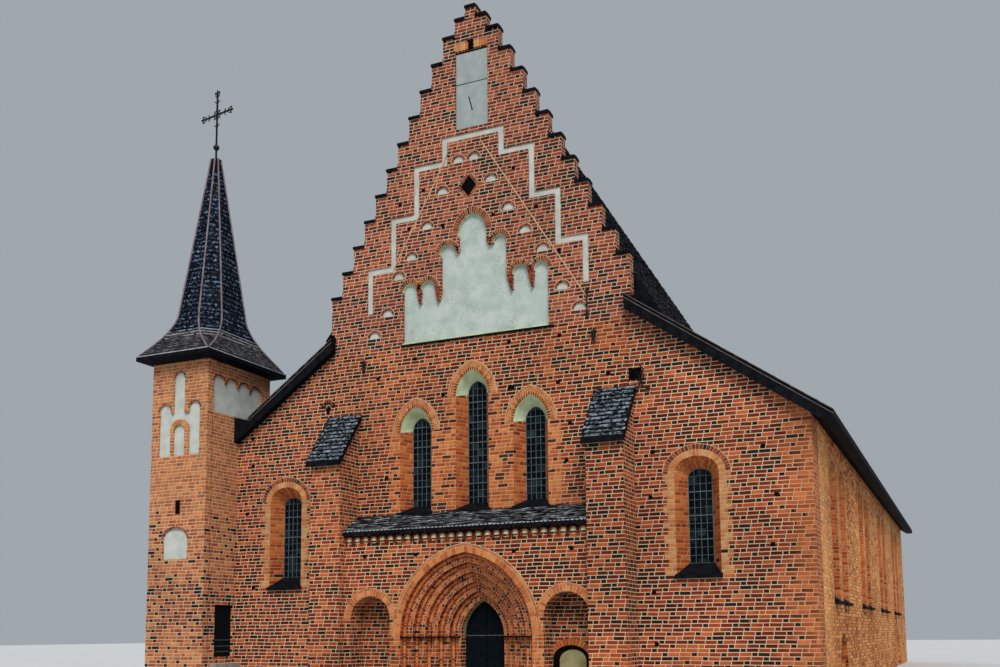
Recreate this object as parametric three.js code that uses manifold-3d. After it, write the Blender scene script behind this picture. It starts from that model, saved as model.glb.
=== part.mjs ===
// A brick church with a stepped west gable, lean-to aisles, a porch front and a slim stair tower.
// Millimetres, +Z up, +Y along the nave from the west front, +X to the south.
// The origin lies on the ground in the portal, in the plane of the west front.
import * as THREE from 'three';
import { mergeVertices } from 'three/addons/utils/BufferGeometryUtils.js';
import Module from 'manifold-3d';

const wasm = await Module();
wasm.setup();

// Joints between neighbouring pieces
const GAP = 0.3;
const BITE = 5;

// Driving dimensions of the plan
const NAVE_HALF = 4450;
const AISLE_HALF = 8975;
const CHURCH_LENGTH = 32500;
const FRONT_THICKNESS = 1000;
const WALL_THICKNESS = 900;
const AISLE_SETBACK = 40;
const FLOOR_TOP = 120;
const BAY = 7300;
const FIRST_BAY_CENTRE = 4800;
const BAY_COUNT = 4;

// The nave's walls, piers and roofs
const ARCADE_THICKNESS = 700;
const ARCADE_PIER = 1300;
const ARCADE_SPRING = 3600;
const ARCADE_APEX = 6700;
const WALL_PLATE_Z = 10775;
const NAVE_ROOF_THICKNESS = 250;
const EAVE_FASCIA = 150;
const WEST_BAY_SLOPE = 1.65;
const WEST_BAY_END = 7400;
const CROSS_GABLE_THICKNESS = 400;
const EAST_NAVE_SLOPE = 1.2;
const EAST_VERGE = 200;

// The aisles' roofs
const AISLE_SLOPE = 0.698;
const AISLE_TOP_AT_AXIS = 13390;
const AISLE_ROOF_DEPTH = 340;
const NORTH_ROOF_DROP = 90;
const AISLE_EAVE_X = 9520;
const WEST_VERGE = 200;

// The west gable and its steps
const UPPER_WALL_TOP = 9750;
const GABLE_LEAF = 300;
const GABLE_THICKNESS = 700;
const STEP_COUNT = 11;
const STEP_RUN = 371.4;
const STEP_RISE = 725;
const LOWEST_STEP_HALF = 4590;
const LOWEST_STEP_TOP = 11535;
const CORBEL_BOTTOM = 10290;
const CORBEL_TOP = 10400;
const TOP_STEPS = [[490, 19265], [160, 19595]];
const CAP_HEIGHT = 90;
const CAP_EDGE = 55;
const CAP_OVERHANG = 45;

// The gable's plastered recesses
const ORNAMENT_X = 45;
const NICHE_DEPTH = 120;
const NICHE_SILL = 9810;
const PENDANT_TIP = 22;
const BAND_DEPTH = 50;
const BAND_WIDTH = 180;
const BAND_CORNERS = [[3415, 10845, 12190], [2645, 12190, 13620], [1890, 13620, 15050], [975, 15050, 15740]];
const LUNETTE_WIDTH = 345;
const LUNETTE_STILT = 45;
const LUNETTES = [
  [-400, 14930], [90, 14930], [-910, 14090], [610, 14190], [-1410, 13140], [1130, 13270],
  [-1920, 12300], [1630, 12530], [-2330, 11790], [2140, 11920], [-2700, 10740], [2700, 10770],
  [-3130, 10130], [3180, 10140],
];
const HATCH = { left: -490, right: 535, bottom: 15880, top: 18220, depth: 60 };
const DIAMOND = { x: -80, z: 14155, halfWidth: 245, halfHeight: 315 };

// Windows: half width, sill, springing and apex of the outer arch, and of the glazed opening
const FRONT_WINDOWS = [
  { name: 'front_glazing_left', x: -1755, rise: 0 },
  { name: 'front_glazing_centre', x: 0, rise: 890 },
  { name: 'front_glazing_right', x: 1735, rise: 0 },
];
const FRONT_WINDOW = { outer: [500, 4960, 7250, 7970], inner: [285, 5150, 7350, 7700] };
const AISLE_WINDOW_X = 6165;
const AISLE_WINDOW = { outer: [560, 3000, 5540, 5960], inner: [305, 3300, 5465, 5685] };
const LANCET_OFFSET = 1020;
const LANCET = { outer: [700, 2390, 5420, 6090], inner: [430, 2720, 5360, 5790] };
const REVEAL_DEPTH = 380;
const GLAZING_THICKNESS = 40;
const PLINTH_OPENING = { half: 800, spring: 720, apex: 1560, depth: 350 };

// The porch front and its portal
const PORTAL_X = 80;
const PORCH_HALF = 3620;
const PORCH_DEPTH = 700;
const ORDER_COUNT = 6;
const ORDER_OUTER = { half: 1930, apex: 3740 };
const ORDER_INNER = { half: 650, apex: 2520 };
const PORTAL_SPRING = 1530;
const ORDER_DEPTH = 224;
const REAR_ARCH = { half: 900, start: 720, top: 2800 };
const THRESHOLD_ORDER = 2;
const PORCH_NICHE = { offset: 2870, half: 620, spring: 2020, apex: 2640, back: 60 };
const PORCH_ROOF = { overhang: 120, edge: 90, eaveTop: 4430, wallTop: 4920 };

// Portal door leaves
const LEAF = { half: 690, apex: 2560, thickness: 60, start: 726, gap: 6, floorGap: 10, post: 22 };

// Buttresses
const BUTTRESS = { inner: 3620, outer: 4600, depth: 980 };
const BUTTRESS_ROOF = { side: 60, reach: 1120, edge: 110, eaveTop: 6400, wallTop: 7890 };

// The stair tower and its spire
const TOWER = { west: -1430, east: 1530, south: -7950, north: -10045, wall: 350, top: 9760 };
const TOWER_DOOR = { west: -900, east: -80, sill: 980, head: 2500 };
const TOWER_LEAF = { inset: 70, thickness: 50, gap: 8, floorGap: 10 };
const TOWER_STEPS = { count: 4, tread: 240, west: -1080, east: AISLE_SETBACK - GAP };
const TOWER_RECESS = 70;
const TOWER_SIDE_LANCETS = [
  { x: -9550, half: 220, sill: 6910, spring: 8290, apex: 8510 },
  { x: -8440, half: 205, sill: 6920, spring: 8310, apex: 8515 },
];
const TOWER_TALL_LANCET = { x: -9030, half: 210, sill: 7500, spring: 9250, apex: 9450 };
const TOWER_FIELD = { bottom: 7500, top: 8210 };
const TOWER_RING = { x: -8995, half: 375, spring: 7640, apex: 8010 };
const TOWER_INNER_LANCET = { x: -9010, half: 210, sill: 6915, spring: 7670, apex: 7890 };
const TOWER_ROUND_PANEL = { x: -9050, half: 455, sill: 3830, spring: 4460, apex: 4750 };
const TOWER_PANEL = { west: -1200, lobe: 585, count: 4, sill: 8215, spring: 9120, rise: 215, corbel: 60 };
const SPIRE = {
  eaveX: 320, eaveY: 420, soffitRise: 70, fascia: 120, flareTop: 11410, top: 16760,
  topHalfX: 128, topHalfY: 125, taperX: 0.135, taperY: 0.172, cutShare: 0.56,
  flare: 1.65, cutPower: 1.9, shell: 130, hollowTop: 14000,
};
const SPIRE_AXIS = { x: -9120, y: 60 };
const CROSS = { top: 19060, armZ: 18290, armHalf: 680, turn: 8.9, bar: 44, ballZ: 17180, ball: 100 };
const VALLEY_BOX = { back: 600, topInner: 8110, topOuter: 8180, inner: 7430 };

const BRICK = { color: 0xa8573c, roughness: 0.9, metalness: 0 };
const TARRED_SHINGLE = { color: 0x1f2226, roughness: 0.75, metalness: 0 };
const LEADED_GLASS = { color: 0x18242c, roughness: 0.25, metalness: 0 };
const DARK_WOOD = { color: 0x14181a, roughness: 0.6, metalness: 0 };
const STONE = { color: 0x8f8a80, roughness: 0.9, metalness: 0 };
const IRON = { color: 0x1a1a1c, roughness: 0.6, metalness: 0.6 };

const church = new THREE.Group();

// Turn a closed geometry into a solid that can be cut and joined
function solidOf(geometry) {
  const bare = geometry.clone();
  bare.deleteAttribute('normal');
  bare.deleteAttribute('uv');
  const merged = mergeVertices(bare, 1e-3);
  return new wasm.Manifold(new wasm.Mesh({
    numProp: 3,
    vertProperties: new Float32Array(merged.attributes.position.array),
    triVerts: new Uint32Array(merged.index.array),
  }));
}

function geometryOf(solid) {
  const mesh = solid.getMesh();
  const geometry = new THREE.BufferGeometry();
  geometry.setAttribute('position', new THREE.BufferAttribute(mesh.vertProperties, 3));
  geometry.setIndex(new THREE.BufferAttribute(mesh.triVerts, 1));
  geometry.computeVertexNormals();
  return geometry;
}

function addPiece(name, solid, finish) {
  const mesh = new THREE.Mesh(geometryOf(solid), new THREE.MeshStandardMaterial(finish));
  mesh.name = name;
  church.add(mesh);
}

function box(x0, x1, y0, y1, z0, z1) {
  const geometry = new THREE.BoxGeometry(x1 - x0, y1 - y0, z1 - z0);
  geometry.translate((x0 + x1) / 2, (y0 + y1) / 2, (z0 + z1) / 2);
  return solidOf(geometry);
}

function extrude(points, depth) {
  const shape = new THREE.Shape(points.map(([u, v]) => new THREE.Vector2(u, v)));
  return new THREE.ExtrudeGeometry(shape, { depth, bevelEnabled: false, steps: 1 });
}

// An outline in X and Z, carried along Y
function alongY(points, y0, y1) {
  const geometry = extrude(points, y1 - y0);
  geometry.applyMatrix4(new THREE.Matrix4().makeBasis(
    new THREE.Vector3(1, 0, 0), new THREE.Vector3(0, 0, 1), new THREE.Vector3(0, -1, 0)));
  geometry.translate(0, y1, 0);
  return solidOf(geometry);
}

// An outline in Y and Z, carried along X
function alongX(points, x0, x1) {
  const geometry = extrude(points, x1 - x0);
  geometry.applyMatrix4(new THREE.Matrix4().makeBasis(
    new THREE.Vector3(0, 1, 0), new THREE.Vector3(0, 0, 1), new THREE.Vector3(1, 0, 0)));
  geometry.translate(x0, 0, 0);
  return solidOf(geometry);
}

// An outline in X and Y, carried up
function alongZ(points, z0, z1) {
  const geometry = extrude(points, z1 - z0);
  geometry.translate(0, 0, z0);
  return solidOf(geometry);
}

// The outline of an arch over straight jambs, from its lower left corner.
// It is pointed where it rises more than half its width, and else one flat curve.
function archOutline(x, half, bottom, spring, apex, segments = 7) {
  const rise = apex - spring;
  const pointed = rise > half;
  const radius = pointed ? (rise * rise + half * half) / (2 * half) : half;
  const sweep = pointed ? Math.atan2(rise, radius - half) : Math.PI / 2;
  const upright = pointed ? radius : rise;
  const right = [];
  for (let step = 0; step < segments; step += 1) {
    const angle = (sweep * step) / segments;
    right.push([half - radius + radius * Math.cos(angle), spring + upright * Math.sin(angle)]);
  }
  const left = right.map(([u, v]) => [x - u, v]).reverse();
  return [[x - half, bottom], [x + half, bottom], ...right.map(([u, v]) => [x + u, v]), [x, apex], ...left];
}

// The outline of a round arch over straight jambs
function roundArch(x, half, bottom, spring, segments = 8) {
  const points = [[x - half, bottom], [x + half, bottom]];
  for (let step = 0; step <= segments; step += 1) {
    const angle = (Math.PI * step) / segments;
    points.push([x + half * Math.cos(angle), spring + half * Math.sin(angle)]);
  }
  return points;
}

// A low curved arch without jambs, from its right foot to its left foot
function flatArch(x, half, spring, rise, segments = 6) {
  const points = [];
  for (let step = 0; step <= segments; step += 1) {
    const angle = (Math.PI * step) / segments;
    points.push([x + half * Math.cos(angle), spring + rise * Math.sin(angle)]);
  }
  return points;
}

// A closed solid through a stack of rings that all have the same number of points, going up or along
function stack(rings) {
  const count = rings[0].length;
  const positions = rings.flat(2);
  const index = [];
  for (let ring = 0; ring + 1 < rings.length; ring += 1) {
    for (let i = 0; i < count; i += 1) {
      const a = ring * count + i;
      const b = ring * count + ((i + 1) % count);
      index.push(a, b, b + count, a, b + count, a + count);
    }
  }
  const last = (rings.length - 1) * count;
  for (let i = 1; i + 1 < count; i += 1) {
    index.push(0, i + 1, i);
    index.push(last, last + i, last + i + 1);
  }
  const geometry = new THREE.BufferGeometry();
  geometry.setAttribute('position', new THREE.Float32BufferAttribute(positions, 3));
  geometry.setIndex(index);
  return solidOf(geometry);
}

// Cut a window: a splayed reveal from the wall's face, then a straight opening through it.
// The place function sets a point of the outline, at a depth behind the face, into the building.
function windowCutter(x, sizes, rise, wallThickness, place) {
  const [outerHalf, outerSill, outerSpring, outerApex] = sizes.outer;
  const [innerHalf, innerSill, innerSpring, innerApex] = sizes.inner;
  const outer = archOutline(x, outerHalf, outerSill, outerSpring + rise, outerApex + rise);
  const inner = archOutline(x, innerHalf, innerSill, innerSpring + rise, innerApex + rise);
  const face = BITE / REVEAL_DEPTH;
  const start = outer.map(([u, v], i) => [u + (u - inner[i][0]) * face, v + (v - inner[i][1]) * face]);
  const ring = (outline, depth) => outline.map(([u, v]) => place(u, v, depth));
  return stack([
    ring(inner, wallThickness + BITE),
    ring(inner, REVEAL_DEPTH),
    ring(start, -BITE),
  ]);
}

const westFace = (face) => (u, v, depth) => [u, face + depth, v];

function glazing(x, sizes, rise, face) {
  const [half, sill, spring, apex] = sizes.inner;
  const outline = archOutline(x, half - GAP, sill + GAP, spring + rise, apex + rise - GAP);
  const start = face + REVEAL_DEPTH;
  return alongY(outline, start, start + GLAZING_THICKNESS);
}

// Floor of the church, with a threshold that steps in with the portal's orders
function buildFloor() {
  const inside = AISLE_HALF - WALL_THICKNESS;
  const eastFace = CHURCH_LENGTH - WALL_THICKNESS;
  const towerInside = TOWER.east;
  const rear = REAR_ARCH.half - GAP;
  const edge = [];
  for (let order = THRESHOLD_ORDER; order < ORDER_COUNT; order += 1) {
    const half = portalOrder(order).half - GAP;
    edge.push([half, portalOrder(order - 1).end - (order > THRESHOLD_ORDER ? GAP : 0)]);
    edge.push([half, order + 1 < ORDER_COUNT ? portalOrder(order).end - GAP : REAR_ARCH.start + GAP]);
  }
  edge.push([rear, REAR_ARCH.start + GAP], [rear, FRONT_THICKNESS]);
  const plan = [
    ...edge.map(([half, y]) => [PORTAL_X + half, y]),
    [inside, FRONT_THICKNESS], [inside, eastFace], [-inside, eastFace], [-inside, towerInside],
    [TOWER.south, towerInside], [TOWER.south, FRONT_THICKNESS],
    ...edge.map(([half, y]) => [PORTAL_X - half, y]).reverse(),
  ];
  addPiece('floor_slab', alongZ(plan, 0, FLOOR_TOP), STONE);
}

// One order of the portal, counted from the outside: its arch and how deep it is cut
function portalOrder(order) {
  const share = order / (ORDER_COUNT - 1);
  const innermost = order + 1 === ORDER_COUNT;
  return {
    half: ORDER_OUTER.half + (ORDER_INNER.half - ORDER_OUTER.half) * share,
    apex: ORDER_OUTER.apex + (ORDER_INNER.apex - ORDER_OUTER.apex) * share,
    end: innermost ? REAR_ARCH.start + BITE : -PORCH_DEPTH + (order + 1) * ORDER_DEPTH,
  };
}

// The stepped orders of the portal, as the space that they leave
function portalCutter() {
  let cutter = null;
  for (let order = 0; order < ORDER_COUNT; order += 1) {
    const { half, apex, end } = portalOrder(order);
    const outline = archOutline(PORTAL_X, half, -BITE, PORTAL_SPRING, apex, 10);
    const piece = alongY(outline, -PORCH_DEPTH - BITE, end);
    cutter = cutter === null ? piece : cutter.add(piece);
  }
  return cutter.add(box(PORTAL_X - REAR_ARCH.half, PORTAL_X + REAR_ARCH.half,
    REAR_ARCH.start, FRONT_THICKNESS + BITE, -BITE, REAR_ARCH.top));
}

function porchNiche(side) {
  const outline = archOutline(PORTAL_X + side * PORCH_NICHE.offset, PORCH_NICHE.half,
    -BITE, PORCH_NICHE.spring, PORCH_NICHE.apex);
  return alongY(outline, -PORCH_DEPTH - BITE, -PORCH_NICHE.back);
}

function buildPorch(cutter) {
  const roofSlope = (PORCH_ROOF.wallTop - PORCH_ROOF.eaveTop) / (PORCH_DEPTH + PORCH_ROOF.overhang);
  const reach = PORCH_DEPTH + PORCH_ROOF.overhang;
  const eaveBottom = PORCH_ROOF.eaveTop - PORCH_ROOF.edge;
  const under = (y) => eaveBottom + (reach + y) * roofSlope;
  const niches = porchNiche(-1).add(porchNiche(1));
  const cut = cutter.add(niches);
  addPiece('porch_left_pier', box(-PORCH_HALF, PORTAL_X, -PORCH_DEPTH, 0, 0, PORTAL_SPRING).subtract(cut), BRICK);
  addPiece('porch_right_pier', box(PORTAL_X, PORCH_HALF, -PORCH_DEPTH, 0, 0, PORTAL_SPRING).subtract(cut), BRICK);
  const upper = alongX([[-PORCH_DEPTH, PORTAL_SPRING], [0, PORTAL_SPRING],
    [0, under(0) - GAP], [-PORCH_DEPTH, under(-PORCH_DEPTH) - GAP]], -PORCH_HALF, PORCH_HALF);
  addPiece('porch_arch', upper.subtract(cut), BRICK);
  addPiece('porch_roof', alongX([[-reach, eaveBottom], [0, under(0)],
    [0, PORCH_ROOF.wallTop], [-reach, PORCH_ROOF.eaveTop]], -PORCH_HALF, PORCH_HALF), TARRED_SHINGLE);
}

function buildFrontWall(cutter) {
  const lower = (x0, x1) => box(x0, x1, 0, FRONT_THICKNESS, 0, PORTAL_SPRING).subtract(cutter);
  addPiece('front_wall_left', lower(-NAVE_HALF, PORTAL_X), BRICK);
  addPiece('front_wall_right', lower(PORTAL_X, NAVE_HALF), BRICK);
  let upper = box(-NAVE_HALF, NAVE_HALF, 0, FRONT_THICKNESS, PORTAL_SPRING, UPPER_WALL_TOP).subtract(cutter);
  for (const opening of FRONT_WINDOWS) {
    upper = upper.subtract(windowCutter(opening.x, FRONT_WINDOW, opening.rise, FRONT_THICKNESS, westFace(0)));
    addPiece(opening.name, glazing(opening.x, FRONT_WINDOW, opening.rise, 0), LEADED_GLASS);
  }
  addPiece('front_wall_upper', upper, BRICK);
}

// Steps of the gable from the lowest to the top, each as its half width and the top of its cap
function gableSteps() {
  const steps = [];
  for (let step = 0; step < STEP_COUNT; step += 1) {
    steps.push([LOWEST_STEP_HALF - step * STEP_RUN, LOWEST_STEP_TOP + step * STEP_RISE]);
  }
  return [...steps, ...TOP_STEPS];
}

function gableOutline() {
  const right = [[NAVE_HALF, UPPER_WALL_TOP], [NAVE_HALF, CORBEL_BOTTOM], [LOWEST_STEP_HALF, CORBEL_TOP]];
  const steps = gableSteps();
  steps.forEach(([half, top], i) => {
    right.push([half, top - CAP_HEIGHT]);
    if (i + 1 < steps.length) {
      right.push([steps[i + 1][0], top - CAP_HEIGHT]);
    }
  });
  const left = right.map(([x, z]) => [-x, z]).reverse();
  return [...right, ...left];
}

// Saddle caps on the steps; each runs a little way into the brickwork beside it
function gableCaps() {
  const back = GABLE_LEAF + CAP_OVERHANG;
  const section = (top) => [
    [-CAP_OVERHANG, top - CAP_HEIGHT - BITE], [back, top - CAP_HEIGHT - BITE],
    [back, top - CAP_HEIGHT + CAP_EDGE], [GABLE_LEAF / 2, top], [-CAP_OVERHANG, top - CAP_HEIGHT + CAP_EDGE],
  ];
  const steps = gableSteps();
  let caps = null;
  steps.forEach(([half, top], i) => {
    const last = i + 1 === steps.length;
    const ends = last ? [[-half, half]] : [[steps[i + 1][0] - 2 * BITE, half], [-half, 2 * BITE - steps[i + 1][0]]];
    for (const [x0, x1] of ends) {
      const cap = alongX(section(top), x0, x1);
      caps = caps === null ? cap : caps.add(cap);
    }
  });
  return caps;
}

// The big niche: low, middle and high lobes over one field of plaster, from left to right
function nicheOutline() {
  const lobes = [
    { x: -1970, half: 220, spring: 11370, apex: 11605 },
    { x: -1380, half: 220, spring: 11370, apex: 11605 },
    { x: -760, half: 260, spring: 12300, apex: 12555 },
    { x: 20, half: 435, spring: 12830, apex: 13360 },
    { x: 870, half: 200, spring: 12400, apex: 12600 },
    { x: 1470, half: 228, spring: 11400, apex: 11640 },
    { x: 2090, half: 208, spring: 11420, apex: 11640 },
  ];
  const tip = (x, z) => [[x + PENDANT_TIP, z], [x - PENDANT_TIP, z]];
  // What hangs between each lobe and the one to its left
  const feet = [
    tip(-1630, 10940),
    [[-960, 12180], [-960, 11120], ...tip(-1050, 10930)],
    [[-381, 12280], [-481, 12280]],
    [[650, 12350], [500, 12350]],
    [...tip(1223, 10950), [1070, 11400]],
    tip(1830, 10945),
  ];
  const first = lobes[0];
  const last = lobes[lobes.length - 1];
  const points = [[first.x - first.half, NICHE_SILL], [last.x + last.half, NICHE_SILL]];
  for (let i = lobes.length - 1; i >= 0; i -= 1) {
    const { x, half, spring, apex } = lobes[i];
    points.push(...archOutline(x, half, 0, spring, apex, 4).slice(2));
    points.push(...(i > 0 ? feet[i - 1] : []));
  }
  return points;
}

// The white zigzag band that climbs beside the steps, as boxes that overlap at the corners
function bandCutter() {
  let cutter = null;
  const add = (x0, x1, z0, z1) => {
    const piece = box(ORNAMENT_X + x0, ORNAMENT_X + x1, -BITE, BAND_DEPTH, z0, z1);
    cutter = cutter === null ? piece : cutter.add(piece);
  };
  BAND_CORNERS.forEach(([half, bottom, top], i) => {
    const nextHalf = i + 1 < BAND_CORNERS.length ? BAND_CORNERS[i + 1][0] - BAND_WIDTH : 0;
    for (const side of [-1, 1]) {
      const outer = side * half;
      const inner = side * (half - BAND_WIDTH);
      add(Math.min(outer, inner), Math.max(outer, inner), bottom, top);
      const end = side * nextHalf;
      add(Math.min(outer, end), Math.max(outer, end), top - BAND_WIDTH, top);
    }
  });
  return cutter;
}

function lunetteCutter() {
  let cutter = null;
  for (const [x, z] of LUNETTES) {
    const outline = roundArch(x, LUNETTE_WIDTH / 2, z - LUNETTE_STILT, z, 6);
    const piece = alongY(outline, -BITE, BAND_DEPTH);
    cutter = cutter === null ? piece : cutter.add(piece);
  }
  return cutter;
}

function buildGable() {
  const roofUnder = roofOf(WEST_BAY_SLOPE).underAtAxis - 1;
  const innerTop = roofUnder - WEST_BAY_SLOPE * NAVE_HALF;
  const inner = alongY([[-NAVE_HALF, UPPER_WALL_TOP], [NAVE_HALF, UPPER_WALL_TOP], [NAVE_HALF, innerTop],
    [0, roofUnder], [-NAVE_HALF, innerTop]], GABLE_LEAF - BITE, GABLE_THICKNESS);
  let gable = alongY(gableOutline(), 0, GABLE_LEAF).add(inner).add(gableCaps());
  gable = gable.subtract(alongY(nicheOutline(), -BITE, NICHE_DEPTH));
  gable = gable.subtract(bandCutter()).subtract(lunetteCutter());
  gable = gable.subtract(box(HATCH.left, HATCH.right, -BITE, HATCH.depth, HATCH.bottom, HATCH.top));
  const { x, z, halfWidth, halfHeight } = DIAMOND;
  const diamond = [[x - halfWidth, z], [x, z - halfHeight], [x + halfWidth, z], [x, z + halfHeight]];
  gable = gable.subtract(alongY(diamond, -BITE, GABLE_THICKNESS + BITE));
  addPiece('west_gable', gable, BRICK);
}

// Heights of a nave roof of one slope, from the wall plate that it rests on
function roofOf(slope) {
  const drop = NAVE_ROOF_THICKNESS * Math.hypot(1, slope);
  const underAtAxis = WALL_PLATE_Z + slope * NAVE_HALF;
  return { slope, underAtAxis, topAtAxis: underAtAxis + drop };
}

// Half of a nave roof, which rests on the wall plate and runs out over the aisle's roof
function naveRoofOutline(roof, side) {
  const bed = aisleTop(0, side > 0 ? 0 : NORTH_ROOF_DROP) + GAP;
  const tipX = (roof.topAtAxis - bed) / (roof.slope - AISLE_SLOPE);
  const plateX = NAVE_HALF + GAP;
  const points = [[0, roof.topAtAxis], [0, roof.underAtAxis], [plateX, roof.underAtAxis - roof.slope * plateX],
    [plateX, bed - AISLE_SLOPE * plateX], [tipX, bed - AISLE_SLOPE * tipX]];
  return side > 0 ? points : points.map(([x, z]) => [-x, z]).reverse();
}

function buildNaveRoofs() {
  const west = roofOf(WEST_BAY_SLOPE);
  const east = roofOf(EAST_NAVE_SLOPE);
  for (const [name, side] of [['south', 1], ['north', -1]]) {
    addPiece(`west_bay_roof_${name}`, alongY(naveRoofOutline(west, side), GABLE_LEAF + CAP_OVERHANG + GAP, WEST_BAY_END),
      TARRED_SHINGLE);
    addPiece(`nave_roof_${name}`, alongY(naveRoofOutline(east, side), WEST_BAY_END, CHURCH_LENGTH + EAST_VERGE),
      TARRED_SHINGLE);
  }
  const top = west.underAtAxis - 1;
  addPiece('west_bay_east_gable', alongY([[-NAVE_HALF, WALL_PLATE_Z - 1], [NAVE_HALF, WALL_PLATE_Z - 1], [0, top]],
    WEST_BAY_END - CROSS_GABLE_THICKNESS, WEST_BAY_END - GAP), BRICK);
}

// Top and underside of an aisle roof at a distance from the axis
function aisleTop(x, drop) {
  return AISLE_TOP_AT_AXIS - drop - AISLE_SLOPE * x;
}

function aisleUnder(x, drop) {
  return aisleTop(x, drop) - AISLE_ROOF_DEPTH;
}

function aisleRoof(side, drop) {
  const eaveBottom = aisleTop(AISLE_EAVE_X, drop) - EAVE_FASCIA;
  const soffitX = (aisleUnder(0, drop) - eaveBottom) / AISLE_SLOPE;
  const inner = NAVE_HALF + GAP;
  const points = [[inner, aisleTop(inner, drop)], [inner, aisleUnder(inner, drop)], [soffitX, eaveBottom],
    [AISLE_EAVE_X, eaveBottom], [AISLE_EAVE_X, aisleTop(AISLE_EAVE_X, drop)]];
  const outline = side > 0 ? points : points.map(([x, z]) => [-x, z]).reverse();
  return alongY(outline, -WEST_VERGE, CHURCH_LENGTH + EAST_VERGE);
}

function buildAisleRoofs() {
  addPiece('south_aisle_roof', aisleRoof(1, 0), TARRED_SHINGLE);
  const beside = TOWER.south + GAP;
  const towerSpace = box(TOWER.north - 1000, beside, -2000, TOWER.east + GAP, 0, SPIRE.top);
  const { back, topInner, topOuter, inner } = VALLEY_BOX;
  const inside = aisleUnder(-beside, NORTH_ROOF_DROP) + BITE;
  const valley = alongY([[beside, inside], [-inner, topInner], [beside, topOuter]], -WEST_VERGE, back);
  const roof = aisleRoof(-1, NORTH_ROOF_DROP).subtract(towerSpace);
  addPiece('north_aisle_roof', roof.add(valley), TARRED_SHINGLE);
}

function aisleFront(side, outerX, drop) {
  const points = [[NAVE_HALF, 0], [outerX, 0], [outerX, aisleUnder(outerX, drop) - GAP],
    [NAVE_HALF, aisleUnder(NAVE_HALF, drop) - GAP]];
  const outline = side > 0 ? points : points.map(([x, z]) => [-x, z]).reverse();
  const wall = alongY(outline, AISLE_SETBACK, FRONT_THICKNESS);
  const place = westFace(AISLE_SETBACK);
  return wall.subtract(windowCutter(side * AISLE_WINDOW_X, AISLE_WINDOW, 0, FRONT_THICKNESS, place));
}

function buildAisleFronts() {
  addPiece('south_aisle_front', aisleFront(1, AISLE_HALF, 0), BRICK);
  addPiece('north_aisle_front', aisleFront(-1, -TOWER.south, NORTH_ROOF_DROP), BRICK);
  addPiece('south_aisle_glazing', glazing(AISLE_WINDOW_X, AISLE_WINDOW, 0, AISLE_SETBACK), LEADED_GLASS);
  addPiece('north_aisle_glazing', glazing(-AISLE_WINDOW_X, AISLE_WINDOW, 0, AISLE_SETBACK), LEADED_GLASS);
}

// A side wall with its pairs of tall lancets, two low arched recesses and one sheet of leaded glass
function buildSideWall(name, side, start, drop) {
  const outer = side * AISLE_HALF;
  const inner = side * (AISLE_HALF - WALL_THICKNESS);
  const end = CHURCH_LENGTH - WALL_THICKNESS;
  const top = aisleUnder(AISLE_HALF, drop) - GAP;
  let wall = box(Math.min(outer, inner), Math.max(outer, inner), start, end, 0, top);
  const place = (u, v, depth) => [side * (AISLE_HALF - depth), side * u, v];
  for (let bay = 0; bay < BAY_COUNT; bay += 1) {
    const centre = FIRST_BAY_CENTRE + bay * BAY;
    for (const offset of [-LANCET_OFFSET, LANCET_OFFSET]) {
      wall = wall.subtract(windowCutter(side * (centre + offset), LANCET, 0, WALL_THICKNESS, place));
    }
    if (bay % (BAY_COUNT - 1) === 0) {
      const { half, spring, apex, depth } = PLINTH_OPENING;
      const recess = alongX(archOutline(centre, half, -BITE, spring, apex), 0, depth + BITE);
      wall = wall.subtract(recess.translate([side > 0 ? outer - depth : outer - BITE, 0, 0]));
    }
  }
  addPiece(`${name}_wall`, wall, BRICK);
  const sheetFace = side * (AISLE_HALF - WALL_THICKNESS);
  const sheetBack = side * (AISLE_HALF - WALL_THICKNESS - GLAZING_THICKNESS);
  addPiece(`${name}_glazing`, box(Math.min(sheetFace, sheetBack), Math.max(sheetFace, sheetBack),
    start + BITE, end - BITE, LANCET.inner[1] - 100, LANCET.inner[3] + 100), LEADED_GLASS);
}

function buildEastWall() {
  const roofUnder = roofOf(EAST_NAVE_SLOPE).underAtAxis - 1;
  const plate = roofUnder - EAST_NAVE_SLOPE * NAVE_HALF;
  const outline = [
    [-AISLE_HALF, 0], [AISLE_HALF, 0], [AISLE_HALF, aisleUnder(AISLE_HALF, 0) - GAP],
    [NAVE_HALF, aisleUnder(NAVE_HALF, 0) - GAP], [NAVE_HALF, plate], [0, roofUnder], [-NAVE_HALF, plate],
    [-NAVE_HALF, aisleUnder(NAVE_HALF, NORTH_ROOF_DROP) - GAP],
    [-AISLE_HALF, aisleUnder(AISLE_HALF, NORTH_ROOF_DROP) - GAP],
  ];
  let wall = alongY(outline, CHURCH_LENGTH - WALL_THICKNESS, CHURCH_LENGTH);
  const place = (u, v, depth) => [-u, CHURCH_LENGTH - depth, v];
  for (const opening of FRONT_WINDOWS) {
    wall = wall.subtract(windowCutter(opening.x, FRONT_WINDOW, opening.rise, WALL_THICKNESS, place));
  }
  addPiece('east_wall', wall, BRICK);
  const inside = CHURCH_LENGTH - WALL_THICKNESS;
  const reach = FRONT_WINDOWS[2].x + FRONT_WINDOW.outer[0];
  addPiece('east_glazing', box(-reach, reach, inside - GLAZING_THICKNESS, inside, FRONT_WINDOW.inner[1] - 100,
    FRONT_WINDOW.inner[3] + FRONT_WINDOWS[1].rise + 100), LEADED_GLASS);
}

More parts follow.
